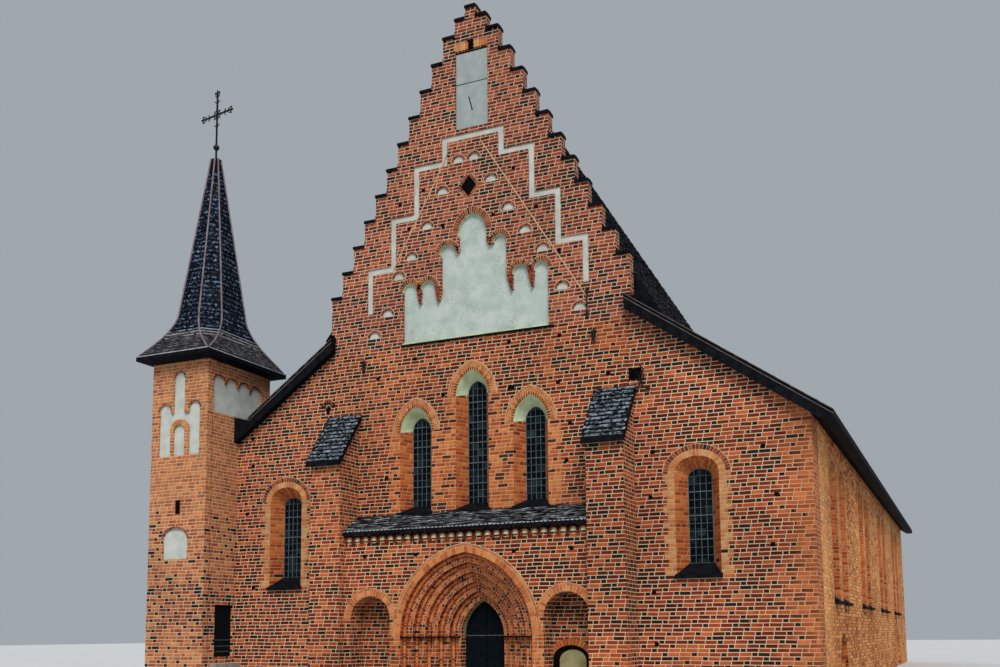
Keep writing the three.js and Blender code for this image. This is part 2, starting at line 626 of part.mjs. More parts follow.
// Pointed arcades on piers carry the nave's walls
function buildArcade(name, side) {
  const outer = side * NAVE_HALF;
  const inner = side * (NAVE_HALF - ARCADE_THICKNESS);
  const x0 = Math.min(outer, inner);
  const x1 = Math.max(outer, inner);
  const end = CHURCH_LENGTH - WALL_THICKNESS;
  let wall = box(x0, x1, FRONT_THICKNESS, end, FLOOR_TOP, WALL_PLATE_Z - 1);
  for (let bay = 0; bay < BAY_COUNT; bay += 1) {
    const centre = FIRST_BAY_CENTRE + bay * BAY;
    const outline = archOutline(centre, (BAY - ARCADE_PIER) / 2, FLOOR_TOP - BITE, ARCADE_SPRING, ARCADE_APEX);
    wall = wall.subtract(alongX(outline, x0 - BITE, x1 + BITE));
  }
  addPiece(`${name}_arcade`, wall, BRICK);
}

function buildButtresses() {
  const slope = (BUTTRESS_ROOF.wallTop - BUTTRESS_ROOF.eaveTop) / BUTTRESS_ROOF.reach;
  const eaveBottom = BUTTRESS_ROOF.eaveTop - BUTTRESS_ROOF.edge;
  const under = (y) => eaveBottom + (BUTTRESS_ROOF.reach + y) * slope;
  const body = [[-BUTTRESS.depth, 0], [0, 0], [0, under(0) - GAP], [-BUTTRESS.depth, under(-BUTTRESS.depth) - GAP]];
  const roof = [[-BUTTRESS_ROOF.reach, eaveBottom], [0, under(0)], [0, BUTTRESS_ROOF.wallTop],
    [-BUTTRESS_ROOF.reach, BUTTRESS_ROOF.eaveTop]];
  const low = BUTTRESS.inner;
  const high = BUTTRESS.outer;
  const side = BUTTRESS_ROOF.side;
  for (const [name, x0, x1] of [['left', -high, -low], ['right', low, high]]) {
    addPiece(`${name}_buttress`, alongX(body, x0, x1), BRICK);
    addPiece(`${name}_buttress_roof`, alongX(roof, x0 - side, x1 + side), TARRED_SHINGLE);
  }
}

// A round post that carries a door leaf and turns on the floor
function heelPost(x, y, radius, z0, z1) {
  const post = new THREE.CylinderGeometry(radius, radius, z1 - z0, 16);
  post.rotateX(Math.PI / 2);
  post.translate(x, y, (z0 + z1) / 2);
  return solidOf(post);
}

// One leaf of the portal door; side is -1 for the left leaf and 1 for the right
function portalLeaf(side) {
  const back = LEAF.start + LEAF.thickness;
  const whole = alongY(archOutline(PORTAL_X, LEAF.half, FLOOR_TOP + LEAF.floorGap, PORTAL_SPRING, LEAF.apex, 10),
    LEAF.start, back);
  const edge = PORTAL_X + side * LEAF.gap;
  const far = PORTAL_X + side * 2 * LEAF.half;
  const leaf = whole.intersect(box(Math.min(edge, far), Math.max(edge, far), 0, FRONT_THICKNESS, 0, REAR_ARCH.top));
  return leaf.add(heelPost(PORTAL_X + side * LEAF.half, back, LEAF.post, FLOOR_TOP + GAP, PORTAL_SPRING));
}

function buildPortalDoor() {
  addPiece('portal_door_left', portalLeaf(-1), DARK_WOOD);
  addPiece('portal_door_right', portalLeaf(1), DARK_WOOD);
}

// Plaster panel with round lobes on the tower's south face, as the space that it leaves
function towerPanelCutter() {
  const { west, lobe, count, sill, spring, rise, corbel } = TOWER_PANEL;
  const half = (lobe - corbel) / 2;
  const points = [[west + corbel / 2, sill], [west + lobe * count - corbel / 2, sill]];
  for (let i = count - 1; i >= 0; i -= 1) {
    points.push(...flatArch(west + lobe * (i + 0.5), half, spring, rise));
  }
  return alongX(points, TOWER.south - TOWER_RECESS, TOWER.south + BITE);
}

// The branched plaster field on the tower's front, as the space that it leaves
function towerFieldCutter() {
  const lancet = ({ x, half, sill, spring, apex }) => alongY(archOutline(x, half, sill, spring, apex, 4),
    TOWER.west - BITE, TOWER.west + TOWER_RECESS);
  const [left, right] = TOWER_SIDE_LANCETS;
  const between = box(left.x, right.x, TOWER.west - BITE, TOWER.west + TOWER_RECESS,
    TOWER_FIELD.bottom, TOWER_FIELD.top);
  const ring = alongY(archOutline(TOWER_RING.x, TOWER_RING.half, TOWER_FIELD.bottom - BITE, TOWER_RING.spring,
    TOWER_RING.apex, 5), TOWER.west - 2 * BITE, TOWER.west + 2 * TOWER_RECESS);
  const field = between.add(lancet(TOWER_TALL_LANCET)).subtract(ring).add(lancet(left)).add(lancet(right));
  return field.add(lancet(TOWER_INNER_LANCET)).add(lancet(TOWER_ROUND_PANEL));
}

function buildTower() {
  const inWest = TOWER.west + TOWER.wall;
  const inEast = TOWER.east - TOWER.wall;
  const inSouth = TOWER.south - TOWER.wall;
  const inNorth = TOWER.north + TOWER.wall;
  const panel = towerPanelCutter();
  const doorJamb = box(inSouth, TOWER.south, inWest - BITE, TOWER_DOOR.west, 0, TOWER.top);
  const front = box(TOWER.north, TOWER.south, TOWER.west, inWest, 0, TOWER.top).add(doorJamb);
  addPiece('tower_west_wall', front.subtract(panel).subtract(towerFieldCutter()), BRICK);
  addPiece('tower_north_wall', box(TOWER.north, inNorth, inWest, inEast, 0, TOWER.top), BRICK);
  addPiece('tower_east_wall', box(TOWER.north, TOWER.south, inEast, TOWER.east, 0, TOWER.top), BRICK);
  addPiece('tower_south_wall', box(inSouth, TOWER.south, TOWER_DOOR.east, inEast, 0, TOWER.top).subtract(panel), BRICK);
  addPiece('tower_wall_over_door', box(inSouth, TOWER.south, TOWER_DOOR.west, TOWER_DOOR.east,
    TOWER_DOOR.head, TOWER.top).subtract(panel), BRICK);
  const base = [[inNorth, inWest], [inSouth, inWest], [inSouth, TOWER_DOOR.west], [TOWER.south, TOWER_DOOR.west],
    [TOWER.south, TOWER_DOOR.east], [inSouth, TOWER_DOOR.east], [inSouth, inEast], [inNorth, inEast]];
  addPiece('tower_floor', alongZ(base, 0, TOWER_DOOR.sill), BRICK);
  buildTowerDoor();
  buildTowerSteps();
}

// The leaf turns on a heel post that rounds its west edge
function buildTowerDoor() {
  const outside = TOWER.south - TOWER_LEAF.inset;
  const radius = TOWER_LEAF.thickness / 2;
  const axisY = TOWER_DOOR.west + TOWER_LEAF.gap + radius;
  const head = TOWER_DOOR.head - TOWER_LEAF.gap;
  const leaf = box(outside - TOWER_LEAF.thickness, outside, axisY, TOWER_DOOR.east - TOWER_LEAF.gap,
    TOWER_DOOR.sill + TOWER_LEAF.floorGap, head);
  const post = heelPost(outside - radius, axisY, radius, TOWER_DOOR.sill + GAP, head);
  addPiece('tower_door', leaf.add(post), DARK_WOOD);
}

function buildTowerSteps() {
  const rise = TOWER_DOOR.sill / (TOWER_STEPS.count + 1);
  const points = [[TOWER.south, 0], [TOWER.south + TOWER_STEPS.count * TOWER_STEPS.tread, 0]];
  for (let step = 1; step <= TOWER_STEPS.count; step += 1) {
    const x = TOWER.south + (TOWER_STEPS.count + 1 - step) * TOWER_STEPS.tread;
    points.push([x, step * rise], [x - TOWER_STEPS.tread, step * rise]);
  }
  addPiece('tower_steps', alongY(points, TOWER_STEPS.west, TOWER_STEPS.east), STONE);
}

const SPIRE_EAVE_Z = TOWER.top + SPIRE.soffitRise + SPIRE.fascia;

// The spire's eight-sided plan at a height: a rectangle at the eaves, with its corners cut off above the flare
function spirePlan(z) {
  const low = Math.max(0, Math.min(1, (SPIRE.flareTop - z) / (SPIRE.flareTop - SPIRE_EAVE_Z)));
  const flare = low ** SPIRE.flare;
  const side = (axis, topHalf, taper, eave) => {
    const straight = topHalf + (SPIRE.top - z) * taper;
    const last = topHalf + (SPIRE.top - SPIRE_EAVE_Z) * taper;
    return straight + (Math.abs(eave - axis) - last) * flare;
  };
  const south = side(SPIRE_AXIS.x, SPIRE.topHalfX, SPIRE.taperX, TOWER.south + SPIRE.eaveX);
  const north = side(SPIRE_AXIS.x, SPIRE.topHalfX, SPIRE.taperX, TOWER.north - SPIRE.eaveX);
  const west = side(SPIRE_AXIS.y, SPIRE.topHalfY, SPIRE.taperY, TOWER.west - SPIRE.eaveY);
  const east = side(SPIRE_AXIS.y, SPIRE.topHalfY, SPIRE.taperY, TOWER.east + SPIRE.eaveY);
  const halfX = SPIRE.topHalfX + (SPIRE.top - z) * SPIRE.taperX;
  const cut = Math.max(BITE, SPIRE.cutShare * halfX * (1 - low ** SPIRE.cutPower));
  return { south, north, west, east, cut };
}

function spireRing(z, plan) {
  const { south, north, west, east, cut } = plan;
  const corners = [[south - cut, -west], [south, cut - west], [south, east - cut], [south - cut, east],
    [cut - north, east], [-north, east - cut], [-north, cut - west], [cut - north, -west]];
  return corners.map(([u, v]) => [SPIRE_AXIS.x + u, SPIRE_AXIS.y + v, z]);
}

// A plan that follows the tower's walls at a distance outside them
function towerPlan(distance) {
  return {
    south: TOWER.south + distance - SPIRE_AXIS.x,
    north: SPIRE_AXIS.x - TOWER.north + distance,
    west: SPIRE_AXIS.y - TOWER.west + distance,
    east: TOWER.east + distance - SPIRE_AXIS.y,
    cut: BITE,
  };
}

function insetPlan(plan, inset) {
  const { south, north, west, east, cut } = plan;
  return { south: south - inset, north: north - inset, west: west - inset, east: east - inset, cut };
}

function buildSpire() {
  const eave = spirePlan(SPIRE_EAVE_Z);
  const rings = [
    spireRing(TOWER.top, towerPlan(SPIRE.soffitRise)),
    spireRing(TOWER.top + SPIRE.soffitRise, eave),
    spireRing(SPIRE_EAVE_Z, eave),
  ];
  const flareSteps = 8;
  for (let step = 1; step <= flareSteps; step += 1) {
    const z = SPIRE_EAVE_Z + ((SPIRE.flareTop - SPIRE_EAVE_Z) * step) / flareSteps;
    rings.push(spireRing(z, spirePlan(z)));
  }
  rings.push(spireRing(SPIRE.top, spirePlan(SPIRE.top)));
  const throat = insetPlan(spirePlan(SPIRE.flareTop), SPIRE.shell);
  const hollow = stack([
    spireRing(TOWER.top - BITE, throat),
    spireRing(SPIRE.flareTop, throat),
    spireRing(SPIRE.hollowTop, insetPlan(spirePlan(SPIRE.hollowTop), SPIRE.shell)),
  ]);
  addPiece('spire', stack(rings).subtract(hollow), TARRED_SHINGLE);
}

// The cross stands turned a little, with its arms level
function buildCross() {
  const { x, y } = SPIRE_AXIS;
  const r = CROSS.bar / 2;
  const ball = new THREE.SphereGeometry(CROSS.ball, 10, 6);
  ball.rotateX(Math.PI / 2);
  ball.translate(x, y, CROSS.ballZ);
  const upright = box(x - r, x + r, y - r, y + r, SPIRE.top, CROSS.top);
  const arms = box(-CROSS.armHalf, CROSS.armHalf, -r, r, CROSS.armZ - r, CROSS.armZ + r);
  const turnedArms = arms.rotate([0, 0, -CROSS.turn]).translate([x, y, 0]);
  addPiece('spire_cross', upright.add(turnedArms).add(solidOf(ball)), IRON);
}

const portal = portalCutter();
buildFloor();
buildPorch(portal);
buildFrontWall(portal);
buildGable();
buildNaveRoofs();
buildAisleRoofs();
buildAisleFronts();
buildSideWall('south', 1, FRONT_THICKNESS, 0);
buildSideWall('north', -1, TOWER.east, NORTH_ROOF_DROP);
buildEastWall();
buildArcade('south', 1);
buildArcade('north', -1);
buildButtresses();
buildPortalDoor();
buildTower();
buildSpire();
buildCross();

export default church;
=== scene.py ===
"""Looks of a brick church with a stepped west gable: masonry, plaster, shingles, leaded glass and ironwork.

Sizes are in metres. X runs to the south, Y along the nave to the east and Z up.
The origin lies on the ground in the portal, in the plane of the west front.
"""

from __future__ import annotations

import fnmatch
import logging
import math
import random
from collections.abc import Callable, Iterable
from dataclasses import dataclass, field
from enum import Enum
from functools import cached_property

import bmesh
import bpy
from mathutils import Matrix, Vector


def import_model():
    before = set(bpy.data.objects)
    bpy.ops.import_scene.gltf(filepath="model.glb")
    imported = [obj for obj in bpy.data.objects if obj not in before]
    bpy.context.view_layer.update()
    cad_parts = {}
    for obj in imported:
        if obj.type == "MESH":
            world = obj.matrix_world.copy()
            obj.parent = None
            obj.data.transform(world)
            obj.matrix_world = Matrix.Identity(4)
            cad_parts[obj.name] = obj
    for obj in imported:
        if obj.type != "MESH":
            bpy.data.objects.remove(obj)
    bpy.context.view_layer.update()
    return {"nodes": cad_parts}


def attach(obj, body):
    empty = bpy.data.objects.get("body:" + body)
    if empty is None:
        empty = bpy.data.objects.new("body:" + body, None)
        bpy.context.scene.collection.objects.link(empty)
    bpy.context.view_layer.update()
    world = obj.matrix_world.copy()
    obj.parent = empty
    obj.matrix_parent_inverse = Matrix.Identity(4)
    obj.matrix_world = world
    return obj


LOG = logging.getLogger("church")
Point2 = tuple[float, float]
Point3 = tuple[float, float, float]
Colour = tuple[float, float, float]
CHURCH = "church"


class Slot(Enum):
    """Material slots of the pieces."""

    BRICK = "brick"
    SHINGLE = "shingle"
    WOOD = "dark_wood"
    IRON = "iron"


class Facing(Enum):
    """The way that a wall face looks."""

    WEST = "west"
    EAST = "east"
    SOUTH = "south"
    NORTH = "north"


@dataclass(frozen=True)
class WallPlane:
    """A vertical wall face, with u along it, v up and out away from the wall."""

    face: float
    facing: Facing

    def at(self, u: float, v: float, out: float) -> Point3:
        """Point at u and v, a distance out of the face."""
        if self.facing in (Facing.WEST, Facing.EAST):
            return (u, self.face + (out if self.facing is Facing.EAST else -out), v)
        return (self.face + (out if self.facing is Facing.SOUTH else -out), u, v)


FRONT = WallPlane(0.0, Facing.WEST)
AISLE_FRONT = WallPlane(0.04, Facing.WEST)
PORCH_FACE = WallPlane(-0.70, Facing.WEST)
EAST_FACE = WallPlane(32.5, Facing.EAST)
SOUTH_FACE = WallPlane(8.975, Facing.SOUTH)
NORTH_FACE = WallPlane(-8.975, Facing.NORTH)
TOWER_FRONT = WallPlane(-1.43, Facing.WEST)
TOWER_SIDE = WallPlane(-7.95, Facing.SOUTH)


@dataclass(frozen=True)
class Arch:
    """An arch over straight jambs: pointed if it rises by more than its half width, else one flat curve."""

    x: float
    half: float
    bottom: float
    spring: float
    apex: float

    @property
    def rise(self) -> float:
        """Height of the head."""
        return self.apex - self.spring

    @property
    def pointed(self) -> bool:
        """Whether the head is two arcs that meet in a point."""
        return self.rise > self.half

    @property
    def offset(self) -> float:
        """Distance from the middle to the centre of each arc of a pointed head, 0 for a flat one."""
        return (self.rise ** 2 - self.half ** 2) / (2 * self.half) if self.pointed else 0.0

    def axes(self, grow: float = 0.0) -> Point2:
        """Half axes of the head's curve, grown outwards."""
        across = self.half + self.offset + grow
        return (across, across if self.pointed else self.rise + grow)

    def head(self, share: float, grow: float = 0.0) -> tuple[Point2, Point2]:
        """Point on the right half of the head, and the direction that points out of the opening.

        Args:
            share: way along the curve, 0 at the springing and 1 at the crown.
            grow: distance outside the arch's own edge.

        Returns:
            The point, counted from the middle of the springing line, and the direction.
        """
        a, b = self.axes(grow)
        angle = share * math.acos(min(1.0, self.offset / a))
        across, up = math.cos(angle), math.sin(angle)
        length = math.hypot(across / a, up / b)
        return ((a * across - self.offset, b * up), (across / a / length, up / b / length))

    def point(self, side: int, share: float, grow: float = 0.0) -> Point2:
        """Point on the head; side is 1 for its right half and -1 for its left."""
        (across, up), _ = self.head(share, grow)
        return (self.x + side * across, self.spring + up)

    def jamb(self, side: int, near: float, far: float, low: float, high: float) -> tuple[Point2, Point2]:
        """Two corners of an upright strip beside the opening, between two distances from its edge."""
        edge = self.x + side * self.half
        return (edge + side * near, low), (edge + side * far, high)

    def head_length(self, grow: float = 0.0) -> float:
        """Length of half of the head."""
        a, b = self.axes(grow)
        if self.pointed:
            return a * math.acos(min(1.0, self.offset / a))
        return math.pi / 4 * (3 * (a + b) - math.sqrt((3 * a + b) * (a + 3 * b)))

    def outline(self, grow: float = 0.0, segments: int = 10, bottom: float | None = None) -> list[Point2]:
        """Closed outline, grown outwards, from its lower left corner.

        Args:
            grow: distance outside the arch's own edge.
            segments: parts of each half of the head.
            bottom: height of the lower edge, if it isn't the arch's own.

        Returns:
            The outline's points.
        """
        low = self.bottom if bottom is None else bottom
        right = [self.point(1, i / segments, grow) for i in range(segments)]
        left = [(2 * self.x - u, v) for u, v in reversed(right)]
        reach = self.half + grow
        return [(self.x - reach, low), (self.x + reach, low), *right, self.point(1, 1.0, grow), *left]

    def half_width(self, z: float) -> float:
        """Half of the opening's width at a height."""
        a, b = self.axes()
        return max(0.0, a * math.sqrt(max(0.0, 1.0 - (max(0.0, z - self.spring) / b) ** 2)) - self.offset)

    def height(self, reach: float) -> float:
        """Height of the arch at a distance from its middle."""
        a, b = self.axes()
        return self.spring + b * math.sqrt(max(0.0, 1.0 - ((abs(reach) + self.offset) / a) ** 2))

    def stations(self, step: float, bottom: float) -> list[tuple[Point2, Point2]]:
        """Points along the jambs and the head, each with the direction that points out of the opening.

        Args:
            step: wanted distance between points.
            bottom: height at which the jambs start.

        Returns:
            Pairs of a point and an outward direction, from the right foot to the left foot.
        """
        jamb = round((self.spring - bottom) / step)
        right = [
            ((self.x + self.half, bottom + (self.spring - bottom) * i / jamb), (1.0, 0.0))
            for i in range(jamb)]
        count = max(2, round(self.head_length() / step))
        right += [(self.point(1, i / count), self.head(i / count)[1]) for i in range(count)]
        left = [((2 * self.x - u, v), (-a, b)) for (u, v), (a, b) in reversed(right)]
        return [*right, ((self.x, self.apex), (0.0, 1.0)), *left]


def step(operation: str, flipped: bool = False) -> Callable[..., Value]:
    """A method of a value that adds one arithmetic step to its graph.

    Args:
        operation: the step's name among the math nodes' operations.
        flipped: whether the value comes last.

    Returns:
        The method.
    """
    def method(value: Value, *others: object) -> Value:
        """Result of the step."""
        return value.graph.math(operation, *((*others, value) if flipped else (value, *others)))

    return method


class Value:
    """One output of a node, which can be reckoned with like a number."""

    __add__ = step("ADD")
    __sub__ = step("SUBTRACT")
    __rsub__ = step("SUBTRACT", True)
    __mul__ = step("MULTIPLY")
    __truediv__ = step("DIVIDE")
    __gt__ = step("GREATER_THAN")
    __lt__ = step("LESS_THAN")
    __abs__ = step("ABSOLUTE")

    def __init__(self, graph: Graph, socket: bpy.types.NodeSocket) -> None:
        """Wrap a socket of a graph."""
        self.graph = graph
        self.socket = socket

    def beside(self, name: str) -> Value:
        """Another output of the same node."""
        return Value(self.graph, self.socket.node.outputs[name])


class Graph:
    """Short calls that add and join the nodes of one tree."""

    def __init__(self, tree: bpy.types.NodeTree) -> None:
        """Work on a shader or geometry tree."""
        self.tree = tree

    def feed(self, socket: bpy.types.NodeSocket, value: object) -> None:
        """Link a socket, or set a number, colour or vector on it.

        Args:
            socket: an input of a node.
            value: what feeds it.
        """
        if isinstance(value, Value):
            self.tree.links.new(value.socket, socket)
        elif isinstance(value, tuple) and len(value) == 3 and socket.type == "RGBA":
            socket.default_value = (*value, 1.0)
        else:
            socket.default_value = value

    def add(
            self, kind: str, inputs: dict[int | str, object] | None = None, output: int | str = 0,
            **settings: object) -> Value:
        """Add a node.

        Args:
            kind: the node's type.
            inputs: what feeds its inputs, by name or number.
            output: name or number of the wanted output.
            settings: the node's properties.

        Returns:
            The wanted output.
        """
        made = self.tree.nodes.new(kind)
        for name, value in settings.items():
            setattr(made, name, value)
        for key, value in (inputs or {}).items():
            self.feed(made.inputs[key], value)
        return Value(self, made.outputs[output])

    def math(self, operation: str, *values: object) -> Value:
        """Result of one arithmetic step."""
        return self.add("ShaderNodeMath", dict(enumerate(values)), operation=operation)

    def whole(self, value: Value) -> tuple[Value, Value]:
        """The whole part of a value and what is left of it."""
        floor = self.math("FLOOR", value)
        return floor, value - floor

    def split(self, vector: Value) -> tuple[Value, ...]:
        """The three parts of a vector."""
        first = self.add("ShaderNodeSeparateXYZ", {0: vector})
        return tuple(Value(self, socket) for socket in first.socket.node.outputs)

    def join(self, *parts: object) -> Value:
        """A vector from three parts."""
        return self.add("ShaderNodeCombineXYZ", dict(enumerate(parts)))

    def mix(self, share: object, first: object, second: object, blend: str = "MIX") -> Value:
        """Colour between two colours."""
        return self.add(
            "ShaderNodeMix", {0: share, 6: first, 7: second}, 2, data_type="RGBA", blend_type=blend)

    def blend(self, share: object, first: object, second: object) -> Value:
        """Number between two numbers."""
        return self.add("ShaderNodeMix", {0: share, 2: first, 3: second}, data_type="FLOAT")

    def place(self) -> Value:
        """The object's coordinates."""
        return self.add("ShaderNodeTexCoord", output="Object")

    def noise(self, scale: float, detail: float = 3.0, vector: Value | None = None) -> Value:
        """Cloudy values around one half, on the object's coordinates unless a vector is given."""
        return self.add(
            "ShaderNodeTexNoise", {"Vector": vector or self.place(), "Scale": scale, "Detail": detail},
            "Fac")

    def streaks(self, scale: Point3) -> Value:
        """Cloudy values drawn out along the axes with the smaller scales."""
        return self.noise(1.0, 2.0, self.add("ShaderNodeMapping", {0: self.place(), "Scale": scale}))

    def island(self) -> Value:
        """A random value of each loose part of a mesh."""
        return self.add("ShaderNodeNewGeometry", output="Random Per Island")

    def ramp(self, share: object, places: Point3 | tuple[float, ...], colours: Iterable[Colour]) -> Value:
        """Colour from a ramp with colours at the given places.

        Args:
            share: place on the ramp.
            places: places of the colours, from 0 to 1.
            colours: the colours.

        Returns:
            The colour.
        """
        made = self.add("ShaderNodeValToRGB", {0: share})
        elements = made.socket.node.color_ramp.elements
        while len(elements) < len(places):
            elements.new(0.5)
        for element, place, colour in zip(elements, places, colours):
            element.position = place
            element.color = (*colour, 1.0)
        return made

    def spread(self, value: object, low: float, high: float, start: float, end: float) -> Value:
        """Value mapped from one range to another, held at the ends."""
        return self.add("ShaderNodeMapRange", dict(enumerate((value, low, high, start, end))))


class Coat(Graph):
    """The nodes of one new material."""

    def __init__(self, name: str) -> None:
        """Start a material."""
        self.material = bpy.data.materials.new(name)
        self.material.use_nodes = True
        super().__init__(self.material.node_tree)

    def finish(
            self, colour: object, roughness: object, gloss: float, bump: tuple[Value, float, float],
            metallic: float = 0.0) -> bpy.types.Material:
        """Join everything to the shader.

        Args:
            colour: base colour.
            roughness: roughness.
            gloss: strength of the reflections.
            bump: its height, distance and strength.
            metallic: share of bare metal.

        Returns:
            The finished material.
        """
        normal = self.add("ShaderNodeBump", dict(zip(("Height", "Distance", "Strength"), bump)))
        shader = self.tree.nodes["Principled BSDF"]
        for name, value in {
                "Base Color": colour, "Roughness": roughness, "Metallic": metallic,
                "Specular IOR Level": gloss, "Normal": normal}.items():
            self.feed(shader.inputs[name], value)
        return self.material


@dataclass(frozen=True)
class Finish:
    """What all finishes share: a name, the usual slot and a material, which coat wires in each kind."""

    name: str
    slot: Slot = field(default=Slot.BRICK, kw_only=True)

    @cached_property
    def material(self) -> bpy.types.Material:
        """The finish as a material."""
        return self.coat(Coat(self.name))


@dataclass(frozen=True)
class BrickFinish(Finish):
    """Brickwork in courses of two stretchers and a header, laid in lime mortar, with black-burnt bricks."""

    colours: tuple[Colour, Colour, Colour, Colour]
    mortar: Colour
    patch: Colour
    headers: float
    stretchers: float
    patch_share: float = 0.45
    zone: tuple[int, float, float] | None = None
    glaze: Colour = (0.010, 0.008, 0.009)
    tinted_lime: float = 0.75
    course: float = 0.1
    period: float = 0.73
    stretcher: float = 0.4
    joint: float = 0.0105
    stagger: float = 0.37

    def wall_place(self, coat: Coat) -> tuple[Value, Value, tuple[Value, ...]]:
        """Place along the wall and up it, chosen by the way that the face looks.

        Args:
            coat: the material's nodes.

        Returns:
            Distance along the wall, height, and the three parts of the object's coordinates.
        """
        axes = coat.split(coat.place())
        normal = coat.add("ShaderNodeNewGeometry", output="True Normal")
        nx, ny, nz = (abs(part) for part in coat.split(normal))
        x, y, z = axes
        level = nz > coat.math("MAXIMUM", nx, ny)
        return coat.blend(coat.math("MAXIMUM", nx > ny, level), x, y), coat.blend(level, z, x), axes

    def bricks(self, coat: Coat) -> tuple[Value, ...]:
        """Lay out the bricks.

        Args:
            coat: the material's nodes.

        Returns:
            Share of brick against mortar, whether the brick is a header, two random values of the brick,
            and the object's coordinates.
        """
        along, up, axes = self.wall_place(coat)
        wave = (coat.noise(1.3, 2.0) - 0.5) * 0.035
        row, in_row = coat.whole((up + wave) / self.course)
        cell, in_cell = coat.whole((along + wave) / self.period + row * self.stagger)
        header = in_cell > 2 * self.stretcher
        number = (in_cell > self.stretcher) + header
        start = number * self.stretcher
        end = coat.math("MINIMUM", start + self.stretcher, 1.0)
        across = coat.math("MINIMUM", in_cell - start, end - in_cell) * self.period
        edge = coat.math("MINIMUM", across, coat.math("MINIMUM", in_row, 1.0 - in_row) * self.course)
        ragged = (coat.noise(45.0, 2.0) - 0.5) * 0.006
        brick = coat.spread(edge + ragged, self.joint * 0.7, self.joint * 1.3, 0.0, 1.0)
        dice = coat.add("ShaderNodeTexWhiteNoise", {"Vector": coat.join(cell, number, row)}, "Value")
        second_roll = coat.add("ShaderNodeSeparateColor", {0: dice.beside("Color")}, 1)
        return brick, header, dice, second_roll, axes

    def coat(self, coat: Coat) -> bpy.types.Material:
        """Wire the material.

        Args:
            coat: the material's nodes.

        Returns:
            The finished material.
        """
        brick, header, roll, second_roll, axes = self.bricks(coat)
        tone = roll * 0.9 + ((coat.noise(0.5) - 0.5) * 1.3 + 0.05)
        colour = coat.ramp(tone, (0.0, 0.3, 0.65, 1.0), self.colours)
        patch = coat.spread(
            coat.noise(0.28, 2.0), 1.0 - self.patch_share, 1.12 - self.patch_share, 0.0, 0.7)
        burnt = coat.blend(header, self.stretchers, self.headers)
        burnt = burnt * coat.spread(coat.noise(0.55, 2.0), 0.36, 0.64, 1.5, 0.4) * (1.0 - patch)
        if self.zone:
            axis, start, end = self.zone
            ragged = (roll - 0.5) * abs(end - start)
            zone = coat.spread(axes[axis] + ragged, start, end, 0.0, 1.0)
            patch = coat.math("MAXIMUM", patch, zone * 0.8)
            burnt = burnt * (1.0 - zone)
        dark, bright = (tuple(share * part for part in self.patch) for share in (0.62, 1.2))
        fired = coat.mix(second_roll, dark, bright)
        colour = coat.mix(patch * coat.spread(roll, 0.0, 0.6, 0.45, 1.0), colour, fired)
        glazed = second_roll < burnt
        colour = coat.mix(glazed, colour, self.glaze)
        stain = coat.spread(coat.noise(6.0, 4.0), 0.3, 0.7, 0.72, 1.15)
        lime = coat.mix(patch * self.tinted_lime, self.mortar, self.patch)
        colour = coat.mix(brick, lime, coat.mix(1.0, colour, stain, "MULTIPLY"))
        shade = coat.spread(coat.noise(0.35, 4.0), 0.34, 0.66, 0.82, 1.12)
        return coat.finish(
            coat.mix(1.0, colour, shade, "MULTIPLY"), coat.blend(glazed * brick, 0.9, 0.4), 0.2,
            (brick + roll * 0.25, 0.014, 0.8))


@dataclass(frozen=True)
class MottledFinish(Finish):
    """A plain finish with two tones, a grain and its own gloss, some with specks where it has worn off."""

    base: Colour
    second: Colour
    roughness: float
    scale: float = 4.0
    bump: float = 0.3
    metallic: float = 0.0
    gloss: float = 0.25
    speck: float = 0.0

    def coat(self, coat: Coat) -> bpy.types.Material:
        """Wire the material.

        Args:
            coat: the material's nodes.

        Returns:
            The finished material.
        """
        cloud = coat.noise(self.scale, 5.0)
        colour = coat.mix(coat.spread(cloud, 0.35, 0.65, 0.0, 1.0), self.base, self.second)
        if self.speck:
            cloud = coat.noise(1.3, 2.0) * 0.4
            fleck = coat.streaks((48.0, 48.0, 22.0)) + cloud
            worn = coat.spread(fleck, self.speck, self.speck + 0.05, 0.0, 0.65)
            colour = coat.mix(worn, colour, (0.12, 0.13, 0.10))
        grain = cloud + coat.noise(self.scale * 9.0, 4.0)
        return coat.finish(colour, self.roughness, self.gloss, (grain, 0.01, self.bump), self.metallic)


@dataclass(frozen=True)
class BakedBrickFinish(Finish):
    """Single modelled bricks, each with a tone of its own, some of them burnt black."""

    colours: tuple[Colour, Colour, Colour]
    burnt_share: float = 0.0

    def coat(self, coat: Coat) -> bpy.types.Material:
        """Wire the material.

        Args:
            coat: the material's nodes.

        Returns:
            The finished material.
        """
        island = coat.island()
        colour = coat.ramp(island, (0.0, 0.5, 1.0), self.colours)
        burnt = coat.math("FRACT", island * 37.7) < self.burnt_share
        colour = coat.mix(burnt, colour, (0.010, 0.008, 0.009))
        stain = coat.spread(coat.noise(9.0, 4.0), 0.3, 0.7, 0.75, 1.1)
        return coat.finish(
            coat.mix(1.0, colour, stain, "MULTIPLY"), coat.blend(burnt, 0.88, 0.4), 0.2,
            (coat.noise(60.0), 0.006, 0.5))


